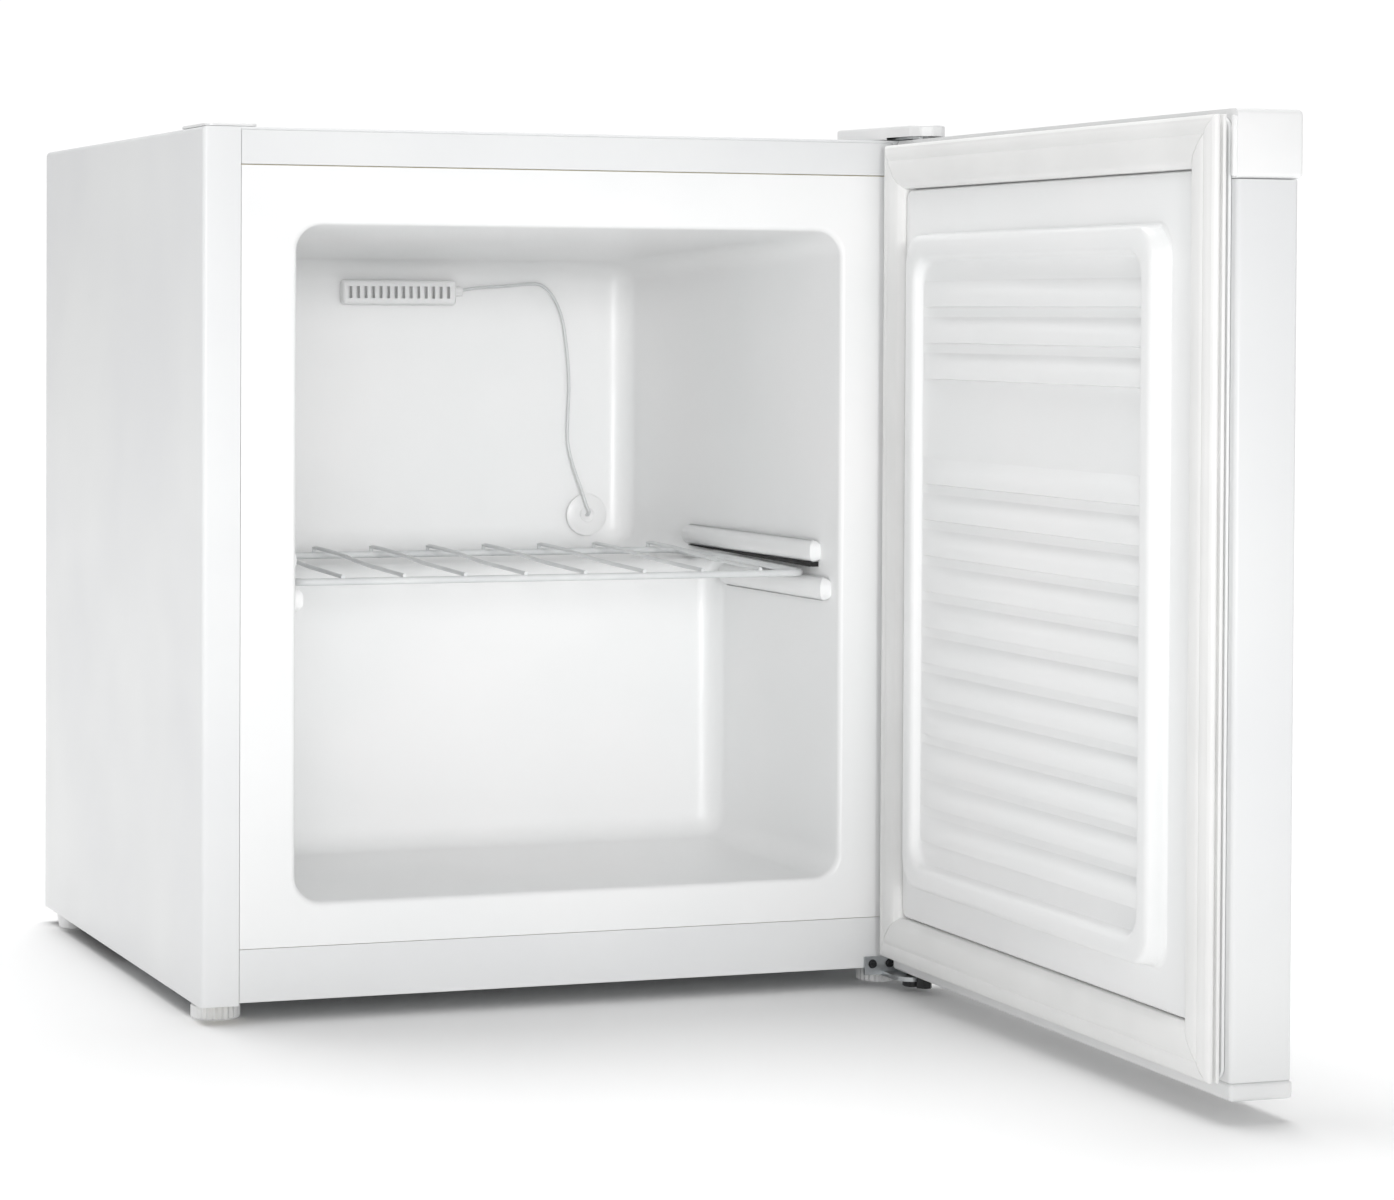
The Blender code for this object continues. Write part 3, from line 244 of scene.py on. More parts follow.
def matte_floor():
    """Studio paper: no gloss, with a faint tooth."""
    mat, tree, shader, where = finish("studio_paper", {"Roughness": 0.95,
                                                       "Specular IOR Level": 0.1})
    two_tone(tree, shader, speckle(tree, where, 900), "#FAFAFA", "#FCFCFC")
    return mat


def coated_steel():
    """Pre-painted steel sheet, rolled on and baked: a faint orange peel and an even half gloss."""
    mat, tree, shader, where = finish("pre_painted_steel", {"IOR": 1.5, "Coat Weight": 0.15,
                                                            "Coat Roughness": 0.25})
    two_tone(tree, shader, speckle(tree, where, 160, 2), "#E9EAEB", "#EEEFEF")
    vary_gloss(tree, shader, speckle(tree, where, 45), 0.32, 0.42)
    relief(tree, shader, speckle(tree, where, 1.6), 0.02, 0.5)
    return mat


def moulded_abs(name, low, high, gloss=(0.3, 0.4)):
    """Injection-moulded ABS: a fine spark-eroded grain, drawn at 1 mm so that it shows."""
    mat, tree, shader, where = finish(name, {"IOR": 1.53})
    two_tone(tree, shader, speckle(tree, where, 60, 2), low, high)
    vary_gloss(tree, shader, speckle(tree, where, 22), *gloss)
    relief(tree, shader, speckle(tree, where, 1.0, 2), 0.02, 0.6)
    return mat


def formed_polystyrene():
    """Vacuum-formed polystyrene: glossy, slightly wavy where the sheet was drawn over the tool."""
    mat, tree, shader, where = finish("vacuum_formed_polystyrene", {"IOR": 1.59})
    two_tone(tree, shader, speckle(tree, where, 120, 2), "#F5F6F6", "#F8F8F8")
    vary_gloss(tree, shader, speckle(tree, where, 30), 0.3, 0.42)
    wave = speckle(tree, where, 38, 1)
    grain = speckle(tree, where, 1.4, 2)
    both = add(tree, "ShaderNodeMath", {"operation": "MULTIPLY_ADD"}, {0: grain, 2: wave})
    both.inputs[1].default_value = 0.12
    relief(tree, shader, both.outputs[0], 0.25, 0.35)
    return mat


def soft_pvc():
    """Extruded soft PVC: dull, slightly warmer than the plastic round it, with draw lines."""
    mat, tree, shader, where = finish("extruded_soft_pvc", {"IOR": 1.52, "Sheen Weight": 0.05})
    two_tone(tree, shader, speckle(tree, where, 70, 2), "#EFEFEE", "#F4F4F3")
    vary_gloss(tree, shader, speckle(tree, where, 9), 0.42, 0.55)
    relief(tree, shader, speckle(tree, where, 2.2, 2), 0.03, 0.5)
    return mat


def coated_wire():
    """Steel wire dipped in white polyethylene, its white toned down to light grey as painted shade,
    for wires seen in shade against the lit walls.
    """
    mat, tree, shader, where = finish("polyethylene_dipped_wire", {"IOR": 1.51})
    # Light grey tones: the white coating with painted shade in it
    two_tone(tree, shader, speckle(tree, where, 25, 2), "#D6D8D9", "#DFE1E1")
    vary_gloss(tree, shader, speckle(tree, where, 12), 0.3, 0.4)
    relief(tree, shader, speckle(tree, where, 5, 1), 0.02, 0.3)
    return mat


def zinc_plate():
    """Bright zinc plating with a clear passivate: blue-grey metal with faint clouding."""
    mat, tree, shader, where = finish("zinc_plated_steel", {"Metallic": 1.0})
    two_tone(tree, shader, speckle(tree, where, 14, 4), "#B9BDC0", "#D2D4D4")
    vary_gloss(tree, shader, speckle(tree, where, 4), 0.28, 0.44)
    relief(tree, shader, speckle(tree, where, 0.9, 2), 0.01, 0.5)
    return mat


def black_enamel():
    """Black stove enamel on pressed steel, with a soft orange peel."""
    mat, tree, shader, where = finish("black_stove_enamel", {"IOR": 1.5})
    two_tone(tree, shader, speckle(tree, where, 35, 3), "#17181A", "#222325")
    vary_gloss(tree, shader, speckle(tree, where, 18), 0.3, 0.48)
    relief(tree, shader, speckle(tree, where, 1.8, 2), 0.04, 0.5)
    return mat


def black_moulding(name, low, high, gloss, grain_mm):
    """A dark moulding: glass-filled nylon or rubber, by its grain and gloss."""
    mat, tree, shader, where = finish(name, {"IOR": 1.5})
    two_tone(tree, shader, speckle(tree, where, 20, 3), low, high)
    vary_gloss(tree, shader, speckle(tree, where, 8), *gloss)
    relief(tree, shader, speckle(tree, where, grain_mm, 2), 0.04, 0.6)
    return mat


def drawn_copper():
    """Drawn copper tube, dulled by handling and brazing heat."""
    mat, tree, shader, where = finish("drawn_copper", {"Metallic": 1.0})
    two_tone(tree, shader, speckle(tree, where, 16, 4), "#9A5B3C", "#C98A62", 0.3, 0.7)
    vary_gloss(tree, shader, speckle(tree, where, 6), 0.25, 0.45)
    relief(tree, shader, speckle(tree, where, 1.2, 2), 0.015, 0.5)
    return mat


def rolled_aluminium():
    """Mill-finish aluminium sheet."""
    mat, tree, shader, where = finish("mill_aluminium", {"Metallic": 1.0})
    two_tone(tree, shader, speckle(tree, where, 30, 3), "#C4C6C9", "#D6D8DA")
    vary_gloss(tree, shader, speckle(tree, where, 3), 0.3, 0.42)
    return mat


def rigid_foam():
    """Polyurethane foam: straw-coloured closed cells."""
    mat, tree, shader, where = finish("polyurethane_foam", {"Roughness": 0.9})
    two_tone(tree, shader, speckle(tree, where, 12, 4), "#DDD3B0", "#E8E0C6")
    cells = add(tree, "ShaderNodeTexVoronoi", {"Scale": 1000 / 1.5}, {"Vector": where})
    relief(tree, shader, cells.outputs["Distance"], 0.3, 0.6)
    return mat


FINISHES = {
    "white_painted_steel": coated_steel(),
    "white_abs": moulded_abs("moulded_white_abs", "#EFF0F0", "#F4F4F4"),
    "white_polystyrene": formed_polystyrene(),
    "white_pvc_gasket": soft_pvc(),
    "white_coated_wire": coated_wire(),
    "zinc_plated_steel": zinc_plate(),
    "black_painted_steel": black_enamel(),
    "black_plastic": black_moulding("glass_filled_nylon", "#1A1B1C", "#262728", (0.45, 0.6), 1.2),
    "black_rubber": black_moulding("black_epdm_rubber", "#161616", "#202020", (0.7, 0.85), 1.6),
    "copper_tube": drawn_copper(),
    "aluminium_sheet": rolled_aluminium(),
    "polyurethane_foam": rigid_foam(),
    "grey_abs": moulded_abs("moulded_grey_abs", "#6C6E70", "#77797B", (0.4, 0.55)),
    "white_nylon": moulded_abs("moulded_nylon", "#E4E4E0", "#ECECE8", (0.4, 0.5)),
}


def finish_frame_nodes():
    """Give every node of the frame the finish that its record names."""
    for row in frame["record"]["subparts"]:
        body = frame["nodes"][row["node"]]
        for held in body.material_slots:
            held.material = FINISHES[row["material_slot"]]


# ---------------------------------------------------------------- bench tools

def clear():
    """Deselect everything."""
    bpy.ops.object.select_all(action="DESELECT")


def hold(obj):
    """Make an object the only one selected, and the active one."""
    clear()
    obj.select_set(True)
    bpy.context.view_layer.objects.active = obj
    return obj


def settled(name):
    """Name the new object and put its place into its mesh."""
    obj = bpy.context.object
    obj.name = name
    obj.data.name = name
    bpy.ops.object.transform_apply(location=True, rotation=True, scale=True)
    return obj


def block(name, xs, ys, zs):
    """A block between two corners."""
    clear()
    low, high = at(xs[0], ys[0], zs[0]), at(xs[1], ys[1], zs[1])
    bpy.ops.mesh.primitive_cube_add(size=1, location=(low + high) / 2)
    bpy.context.object.scale = high - low
    return settled(name)


def edit(obj, kind="FACE"):
    """Open an object for editing with nothing selected."""
    hold(obj)
    bpy.ops.object.mode_set(mode="EDIT")
    bpy.ops.mesh.select_mode(type=kind)
    bpy.ops.mesh.select_all(action="DESELECT")


def pick(obj, test, kind="FACE"):
    """Select the faces, edges or corners that pass a test."""
    bpy.ops.mesh.select_mode(type=kind)
    mesh = bmesh.from_edit_mesh(obj.data)
    mesh.normal_update()
    members = {"FACE": mesh.faces, "EDGE": mesh.edges, "VERT": mesh.verts}[kind]
    for member in members:
        member.select_set(False)
    for member in members:
        if test(member):
            member.select_set(True)
    mesh.select_flush_mode()
    bmesh.update_edit_mesh(obj.data)


def leave():
    """Close the object that is open for editing."""
    bpy.ops.object.mode_set(mode="OBJECT")


def middle(edge):
    """The middle of an edge."""
    return (edge.verts[0].co + edge.verts[1].co) / 2


def fitted(obj, kind, **settings):
    """Add a modifier and apply it."""
    step = obj.modifiers.new(kind.lower(), kind)
    for name, value in settings.items():
        setattr(step, name, value)
    hold(obj)
    bpy.ops.object.modifier_apply(modifier=step.name)
    return obj


def eased(obj, radius, segments=3, over_deg=40):
    """Round every edge sharper than an angle."""
    return fitted(obj, "BEVEL", width=radius * MM, segments=segments, limit_method="ANGLE",
                  angle_limit=math.radians(over_deg))


def carved(obj, *tools):
    """Cut tools out of a piece and throw them away."""
    for tool in tools:
        fitted(obj, "BOOLEAN", operation="DIFFERENCE", solver="EXACT", object=tool)
        bpy.data.objects.remove(tool, do_unlink=True)
    return obj


def joined(obj, *others):
    """Join pieces into one object."""
    hold(obj)
    for other in others:
        other.select_set(True)
    bpy.ops.object.join()
    return obj


def outward(obj):
    """Point the faces of closed shells outwards."""
    edit(obj)
    bpy.ops.mesh.select_all(action="SELECT")
    bpy.ops.mesh.remove_doubles(threshold=0.001 * MM)
    bpy.ops.mesh.normals_make_consistent(inside=False)
    leave()
    return obj


def turned(name, profile, centre, axis="Z", sides=48):
    """A turned piece from (radius, height) stations along its axis."""
    clear()
    radius, height = profile[0]
    bpy.ops.mesh.primitive_circle_add(vertices=sides, radius=radius * MM, fill_type="NGON",
                                      location=(0, 0, height * MM))
    obj = settled(name)
    edit(obj)
    bpy.ops.mesh.select_all(action="SELECT")
    for wide, tall in profile[1:]:
        bpy.ops.mesh.extrude_region_move(
            TRANSFORM_OT_translate={"value": (0, 0, (tall - height) * MM)})
        ratio = wide / radius
        bpy.ops.transform.resize(value=(ratio, ratio, 1), center_override=(0, 0, tall * MM))
        radius, height = wide, tall
    leave()
    turn = {"Z": (0, 0, 0), "Y": (math.radians(-90), 0, 0), "X": (0, math.radians(90), 0)}[axis]
    obj.rotation_euler = turn
    obj.location = at(*centre)
    hold(obj)
    bpy.ops.object.transform_apply(location=True, rotation=True, scale=True)
    return outward(obj)


def terrace(name, rings, corner=0.0, closed=False):
    """A stepped frame that faces back: rings of (half width, low z, high z, y)."""
    clear()
    half, low, high, deep = rings[0]
    bpy.ops.mesh.primitive_plane_add(size=1, location=at(0, deep, (low + high) / 2),
                                     rotation=(math.radians(-90), 0, 0))
    bpy.context.object.scale = (2 * half * MM, (high - low) * MM, 1)
    obj = settled(name)
    edit(obj, "VERT")
    bpy.ops.mesh.select_all(action="SELECT")
    if corner:
        bpy.ops.mesh.bevel(offset=corner * MM, segments=8, affect="VERTICES")
        bpy.ops.mesh.select_all(action="SELECT")
    bpy.ops.mesh.delete(type="ONLY_FACE")
    bpy.ops.mesh.select_mode(type="EDGE")
    bpy.ops.mesh.select_all(action="SELECT")
    for wide, bottom, top, rise in rings[1:]:
        bpy.ops.mesh.extrude_edges_move()
        bpy.ops.transform.resize(value=(wide / half, 1, (top - bottom) / (high - low)),
                                 center_override=at(0, deep, (low + high) / 2))
        shift = ((bottom + top) - (low + high)) / 2
        bpy.ops.transform.translate(value=(0, (rise - deep) * MM, shift * MM))
        half, low, high, deep = wide, bottom, top, rise
    if not closed:
        bpy.ops.mesh.edge_face_add()
    leave()
    return outward(obj)


def wire(name, points, radius, cyclic=False, sides=3):
    """A round wire or tube along points."""
    clear()
    bpy.ops.curve.primitive_nurbs_path_add()
    obj = bpy.context.object
    obj.name = name
    curve = obj.data
    curve.splines.clear()
    line = curve.splines.new("POLY")
    line.points.add(len(points) - 1)
    for point, place in zip(line.points, points):
        point.co = (*at(*place), 1)
    line.use_cyclic_u = cyclic
    curve.bevel_depth = radius * MM
    curve.bevel_resolution = sides
    curve.use_fill_caps = True
    bpy.ops.object.convert(target="MESH")
    return bpy.context.object


def flowing(stops, per_span=6):
    """Points on a smooth curve through a few stops."""
    stops = [Vector(stop) for stop in stops]
    ends = [2 * stops[0] - stops[1]] + stops + [2 * stops[-1] - stops[-2]]
    points = []
    for i in range(1, len(ends) - 2):
        a, b, c, d = ends[i - 1:i + 3]
        for step in range(per_span):
            t = step / per_span
            points.append(0.5 * (2 * b + (c - a) * t + (2 * a - 5 * b + 4 * c - d) * t ** 2
                                 + (3 * b - a - 3 * c + d) * t ** 3))
    return [tuple(point) for point in points] + [tuple(stops[-1])]


def placed(obj, slot, body, *nodes, soft_deg=35):
    """Finish a piece: its material, shading, body, and the frame nodes that it stands for."""
    obj.data.materials.clear()
    obj.data.materials.append(FINISHES[slot])
    hold(obj)
    bpy.ops.object.shade_smooth_by_angle(angle=math.radians(soft_deg))
    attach(obj, body)
    if nodes:
        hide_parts(*nodes)
    return obj


def hung(obj):
    """Turn a piece from the closed door's place to the open one."""
    turn = Matrix.Rotation(math.radians(OPEN_DEG), 4, "Z")
    about = Matrix.Translation(PIVOT)
    obj.data.transform(about @ turn @ about.inverted())
    obj.data.update()
    return obj


# ---------------------------------------------------------------- cabinet

def cabinet_wrap():
    """The painted wrap: two sides and the top in one sheet, with stiles in front."""
    wrap = block("cabinet_wrap", (-HALF_W, HALF_W), (0, DEPTH), (BASE, TOP))
    edit(wrap)
    pick(wrap, lambda f: f.normal.z < -0.5 or f.normal.y > 0.5)
    bpy.ops.mesh.delete(type="FACE")
    side = (HALF_W - 1) * MM

    def outer_fold(edge):
        spot = middle(edge)
        if abs(spot.x - CENTRE_X) < side:
            return False
        upright = abs(edge.verts[0].co.z - edge.verts[1].co.z) > 0.1
        if upright:
            return spot.y < FRONT_Y + MM
        return spot.z > (TOP - 1) * MM

    pick(wrap, outer_fold, "EDGE")
    fold = 3
    bpy.ops.mesh.bevel(offset=fold * MM, segments=6, affect="EDGES")
    for x in (-STILE, STILE):
        bpy.ops.mesh.select_all(action="SELECT")
        bpy.ops.mesh.bisect(plane_co=at(x, 0, 0), plane_no=(1, 0, 0))
    pick(wrap, lambda f: f.normal.y < -0.9
         and abs(f.calc_center_median().x - CENTRE_X) < (STILE - 1) * MM)
    bpy.ops.mesh.delete(type="FACE")
    rear = FRONT_Y + (DEPTH - 0.5) * MM
    pick(wrap, lambda e: middle(e).y > rear, "EDGE")
    bpy.ops.mesh.extrude_edges_move()
    flange = 13
    bpy.ops.transform.resize(value=((HALF_W - flange) / HALF_W, 1,
                                    (TOP - BASE - flange) / (TOP - BASE)),
                             center_override=at(0, DEPTH, BASE))
    leave()
    fitted(wrap, "SOLIDIFY", thickness=SHEET * MM, offset=-1, use_even_offset=True)
    return placed(wrap, "white_painted_steel", "cabinet", "cabinet_shell")


def draw_in(tub):
    """Slope the cavity's sides, ceiling and floor as its mould does."""
    ceiling_over, floor_under = 400 * MM, 100 * MM
    for vert in tub.data.vertices:
        deep = (vert.co.y - FRONT_Y) / MM
        share = deep / BACK
        vert.co.x = CENTRE_X + (vert.co.x - CENTRE_X) * (1 - share * (1 - BACK_HALF / OPEN_HALF))
        if vert.co.z > ceiling_over:
            vert.co.z -= (OPEN_Z[1] - CEILING_REAR) * share * MM
        elif vert.co.z < floor_under:
            vert.co.z += (FLOOR_REAR - OPEN_Z[0]) * deep / STEP_Y * MM


def spread_flange(tub):
    """Carry the mouth of the cavity out to the seams of the front frame."""
    centre = at(0, 0, (SEAM_Z[0] + SEAM_Z[1]) / 2)
    half_x, half_z = (STILE - 0.3) * MM, (SEAM_Z[1] - SEAM_Z[0]) / 2 * MM
    mesh = bmesh.from_edit_mesh(tub.data)
    rim = [vert for vert in mesh.verts if vert.select]
    for vert in rim:
        away = vert.co - centre
        away /= max(abs(away.x) / half_x, abs(away.z) / half_z)
        vert.co = centre + away
    for sign_x in (-1, 1):
        for sign_z in (-1, 1):
            corner = centre + Vector((sign_x * half_x, 0, sign_z * half_z))
            min(rim, key=lambda vert: (vert.co - corner).length).co = corner
    bmesh.update_edit_mesh(tub.data)


def cavity_liner():
    """The white tub with its step over the compressor, round corners and flat front flange."""
    tub = block("cavity_liner", (-OPEN_HALF, OPEN_HALF), (0, STEP_Y), OPEN_Z)
    edit(tub)
    bpy.ops.mesh.select_all(action="SELECT")
    bpy.ops.mesh.bisect(plane_co=at(0, 0, STEP_Z), plane_no=(0, 0, 1))
    pick(tub, lambda f: f.normal.y > 0.9 and f.calc_center_median().z > STEP_Z * MM)
    bpy.ops.mesh.extrude_region_move(
        TRANSFORM_OT_translate={"value": (0, (BACK - STEP_Y) * MM, 0)})
    pick(tub, lambda f: f.normal.y < -0.9)
    bpy.ops.mesh.delete(type="FACE")
    leave()
    draw_in(tub)
    edit(tub, "EDGE")
    pick(tub, lambda e: len(e.link_faces) == 2 and e.calc_face_angle() > math.radians(40), "EDGE")
    bpy.ops.mesh.bevel(offset=CAVITY_R * MM, segments=9, affect="EDGES", clamp_overlap=False)
    bpy.ops.mesh.select_all(action="SELECT")
    bpy.ops.mesh.remove_doubles(threshold=0.01 * MM)
    mouth = FRONT_Y + 0.01 * MM
    pick(tub, lambda e: e.is_boundary and middle(e).y < mouth, "EDGE")
    bpy.ops.mesh.extrude_edges_move()
    spread_flange(tub)
    pick(tub, lambda e: len(e.link_faces) == 2 and middle(e).y < mouth
         and e.calc_face_angle() > math.radians(60), "EDGE")
    lip = 3.5
    bpy.ops.mesh.bevel(offset=lip * MM, segments=6, affect="EDGES")
    bpy.ops.mesh.select_all(action="SELECT")
    bpy.ops.mesh.flip_normals()
    leave()
    fitted(tub, "SOLIDIFY", thickness=1.5 * MM, offset=-1)
    return placed(tub, "white_polystyrene", "cabinet", "inner_liner")


def wall_at(y):
    """Half the cavity's width at a depth."""
    return OPEN_HALF - (OPEN_HALF - BACK_HALF) * y / BACK


def rattle_strip(side, label):
    """A thin black wedge under an upper guide, painted shadow: it stands in for the shaded gap
    above the shelf's side wire.
    """
    front, rear = 31, 228
    low, high, rear_low = 248.4, 251.2, 250.9
    strip = block(f"rattle_strip_{label}", (-1, 1), (front, rear), (low, high))
    for vert in strip.data.vertices:
        deep = (vert.co.y - FRONT_Y) / MM
        outside = (vert.co.x > CENTRE_X) == (side > 0)
        vert.co.x = CENTRE_X + side * (wall_at(deep) + (0.5 if outside else -5.5)) * MM
        if deep > (front + rear) / 2 and vert.co.z < (low + 1) * MM:
            vert.co.z = rear_low * MM
    return outward(strip)


def shelf_guides():
    """Two round-ended rails on each side wall that hold the shelf between them."""
    end_round, reach = 5.5, 7
    for side in (-1, 1):
        label = "left" if side < 0 else "right"
        for name, ys, zs in (("upper", (28, 236), GUIDE_UPPER_Z),
                             ("lower", (12, 172), GUIDE_LOWER_Z)):
            xs = sorted((side * (wall_at(ys[0]) + 1), side * (wall_at(ys[0]) - reach)))
            guide = block(f"shelf_guide_{name}_{label}", xs, ys, zs)
            for vert in guide.data.vertices:
                deep = (vert.co.y - FRONT_Y) / MM - ys[0]
                vert.co.x -= side * deep * (OPEN_HALF - BACK_HALF) / BACK * MM
            edit(guide, "EDGE")
            pick(guide, lambda e: abs(e.verts[0].co.x - e.verts[1].co.x) > MM, "EDGE")
            bpy.ops.mesh.bevel(offset=end_round * MM, segments=6, affect="EDGES")
            leave()
            eased(guide, 1.8, 3)
            placed(guide, "white_polystyrene", "cabinet")
        # A black strip under each upper guide: painted shadow for the dark gap above the shelf's
        # side wire
        placed(rattle_strip(side, label), "black_rubber", "cabinet")


# ---------------------------------------------------------------- shelf and sensor

def corner_arc(cx, cy, radius, start_deg, steps=6):
    """Points on a quarter circle."""
    return [(cx + radius * math.cos(math.radians(start_deg + 90 * i / steps)),
             cy + radius * math.sin(math.radians(start_deg + 90 * i / steps)))
            for i in range(steps + 1)]


def wire_shelf():
    """A bent frame wire with cross wires welded on top that hook down behind."""
    front, rear = 35, 230
    wide, narrow, radius = 157.5, 146.5, 11
    waist_front, waist_rear = 162, 194
    low, high = 244.6, 248
    flat = (corner_arc(narrow - radius, rear - radius, radius, 0)
            + corner_arc(radius - narrow, rear - radius, radius, 90)
            + [(-narrow, waist_rear), (-wide, waist_front)]
            + corner_arc(radius - wide, front + radius, radius, 180)
            + corner_arc(wide - radius, front + radius, radius, 270)
            + [(wide, waist_front), (narrow, waist_rear)])
    rise = (high - low) / (rear - front)
    frame_wire = [(x, y, low + rise * (y - front)) for x, y in flat]
    shelf = wire("wire_shelf", frame_wire, 2.1, True, 4)
    count, pitch, lift = 8, 36.7, 2.7
    over = low + lift
    crest = high + lift + 2.2
    for i in range(count):
        x = (i - (count - 1) / 2) * pitch
        run = [(x, front - 1, over), (x, 80, over + 1), (x, 120, over + 2),
               (x, 180, crest - 0.8), (x, rear - 3, crest), (x, rear + 0.6, crest - 0.9),
               (x, rear + 1.6, crest - 3.2), (x, rear + 1.8, high - 0.4)]
        joined(shelf, wire(f"cross_wire_{i}", flowing(run, 3), 1.2))
    return placed(shelf, "white_coated_wire", "shelf", "wire_shelf")


def sensor_clip():
    """The slotted holder of the feeler on the back wall, with its round nozzle."""
    front, back, mid_z = 343.4, 352.4, 412
    clip = block("sensor_clip", (-42, 35), (front, back), (mid_z - 8, mid_z + 8))
    eased(clip, 2.2, 4)
    count, first_x, pitch, half_w, half_h = 14, -37.1, 5.1, 1.3, 3.9
    slots = []
    for i in range(count):
        x = first_x + i * pitch
        slots.append(block("slot", (x - half_w, x + half_w), (front - 2, front + 6),
                           (mid_z - half_h, mid_z + half_h)))
    cutter = joined(slots[0], *slots[1:])
    carved(clip, cutter)
    nozzle = turned("nozzle", ((1.7, 0), (3.0, 0), (3.0, 5.4), (2.6, 6), (1.7, 6), (1.7, 0.02)),
                    (34, back - 4.5, mid_z + 1), "X", 24)
    return placed(joined(clip, nozzle), "white_abs", "cabinet", "sensor_clip", soft_deg=30)


def feeler_tube():
    """The thin feeler tube, hanging in a loose curve down to its grommet."""
    stops = ((36, 347.9, 413), (50, 347.5, 415.3), (72, 348, 416.8), (89, 349, 418.3),
             (97, 349.5, 416.6), (104, 350, 409.6), (110, 350, 396), (113.4, 350, 376),
             (115.2, 350, 352), (114.4, 350, 328), (114.4, 349, 312), (117.6, 347, 297),
             (122, 345.4, 284), (125.6, 344, 272), (127.5, 343.2, 267.4), (127.5, 345.6, 265),
             (127.5, 350, 265))
    tube = wire("feeler_tube", flowing(stops, 6), 1.05, sides=4)
    return placed(tube, "white_coated_wire", "cabinet", "feeler_tube")


def tube_grommet():
    """The round plug where the tube goes through the back wall."""
    centre = (127.5, 352.7, 265)
    plug = turned("tube_grommet", ((5.6, 0), (11, 1.6), (13.7, 3.2), (14, 3.7), (13.8, 4.4),
                                   (12.6, 5), (5.0, 5), (4.2, 4.4), (1.9, 4.2)), centre, "Y", 40)
    about = Matrix.Translation(at(*centre))
    plug.data.transform(about @ Matrix.Rotation(math.pi, 4, "Z") @ about.inverted())
    return placed(plug, "white_abs", "cabinet", "tube_grommet")


# ---------------------------------------------------------------- door

def door_sheet():
    """The painted door sheet with its folded edges."""
    sheet = block("door_sheet", (-DOOR_HALF, DOOR_HALF), DOOR_Y, (SILL_SEAM + 0.3, CAP_SEAM - 0.3))
    edit(sheet, "EDGE")
    pick(sheet, lambda e: abs(e.verts[0].co.z - e.verts[1].co.z) > 0.1, "EDGE")
    bpy.ops.mesh.bevel(offset=2.5 * MM, segments=6, affect="EDGES")
    leave()
    eased(sheet, 0.3, 2)
    return placed(hung(sheet), "white_painted_steel", "door", "door_outer_panel", "door_foam")


def door_top_cap():
    """The upper moulding, slightly proud, with a finger scoop in its front."""
    front = DOOR_Y[0] - 3
    cap = block("door_top_cap", (-DOOR_HALF, DOOR_HALF), (front, DOOR_Y[1]), (CAP_SEAM, 501.5))
    rear = FRONT_Y + (DOOR_Y[1] - 0.1) * MM
    edit(cap, "EDGE")
    pick(cap, lambda e: middle(e).y < rear, "EDGE")
    bpy.ops.mesh.bevel(offset=3 * MM, segments=6, affect="EDGES")
    leave()
    scoop = block("scoop", (-190, -80), (front - 8, front + 11), (472, 490))
    eased(scoop, 6, 5)
    bore = turned("bush_room", ((BUSH_ROOM_R, 478), (BUSH_ROOM_R, 520)), HINGE_AXIS, "Z", 32)
    carved(cap, scoop, bore)
    lips = []
    for side in (-1, 1):
        xs = sorted((side * (DOOR_HALF - 0.6), side * (SEAL_HALF + 1)))
        lips.append(eased(block("cap_lip", xs, (-16, -11), (CAP_SEAM + 1, 498)), 0.8, 3))
    joined(cap, *lips)
    return placed(hung(cap), "white_abs", "door", "door_top_cap")


def door_bottom_cap():
    """The lower moulding, a shallow rail under the sheet."""
    cap = block("door_bottom_cap", (-DOOR_HALF, DOOR_HALF), (-48, DOOR_Y[1]), (11, SILL_SEAM))
    eased(cap, 2.2, 5)
    carved(cap, turned("bush_room", ((BUSH_ROOM_R, 0), (BUSH_ROOM_R, 30)), HINGE_AXIS, "Z", 32))
    return placed(hung(cap), "white_abs", "door", "door_bottom_cap")


def seal_ring(inset, y):
    """One ring of the seal, a distance in from its outer edge."""
    return (SEAL_HALF - inset, SEAL_Z[0] + inset, SEAL_Z[1] - inset, y)


def door_seal():
    """The magnetic seal: bellows, rolled lip, hollow face and inner flap, mitred at the corners."""
    profile = ((5.0, -12.3), (4.4, -10.6), (1.6, -9.8), (0.2, -9.2), (0.0, -8.4), (0.5, -7.6),
               (2.8, -7.0), (2.8, -6.4), (0.5, -5.8), (0.0, -5.0), (0.0, -4.2), (0.5, -3.1),
               (1.7, -2.1), (3.5, -1.4), (5.4, -1.0), (7.4, -0.8), (8.6, -1.1), (9.4, -1.2),
               (10.4, -0.7), (12.0, -0.4), (15.5, -0.3), (19.5, -0.5), (22.6, -1.5), (24.8, -3.4),
               (25.8, -4.9), (26.0, -5.6), (26.0, -12.3), (5.0, -12.3))
    seal = terrace("door_seal", [seal_ring(inset, y) for inset, y in profile], closed=True)
    cuts = []
    for sign_x in (-1, 1):
        for sign_z, corner_z in ((-1, SEAL_Z[0]), (1, SEAL_Z[1])):
            mid = SEAL_BAND / 2
            notch = block("mitre", (-30, 30), (-2.0, 2), (-0.22, 0.22))
            tilt = Matrix.Rotation(math.radians(-45 * sign_x * sign_z), 4, "Y")
            spot = at(sign_x * (SEAL_HALF - mid), 0, corner_z - sign_z * mid)
            notch.data.transform(Matrix.Translation(spot) @ tilt
                                 @ Matrix.Translation(-at(0, 0, 0)))
            cuts.append(notch)
    carved(seal, *cuts)
    return placed(hung(seal), "white_pvc_gasket", "door", "door_gasket", soft_deg=24)


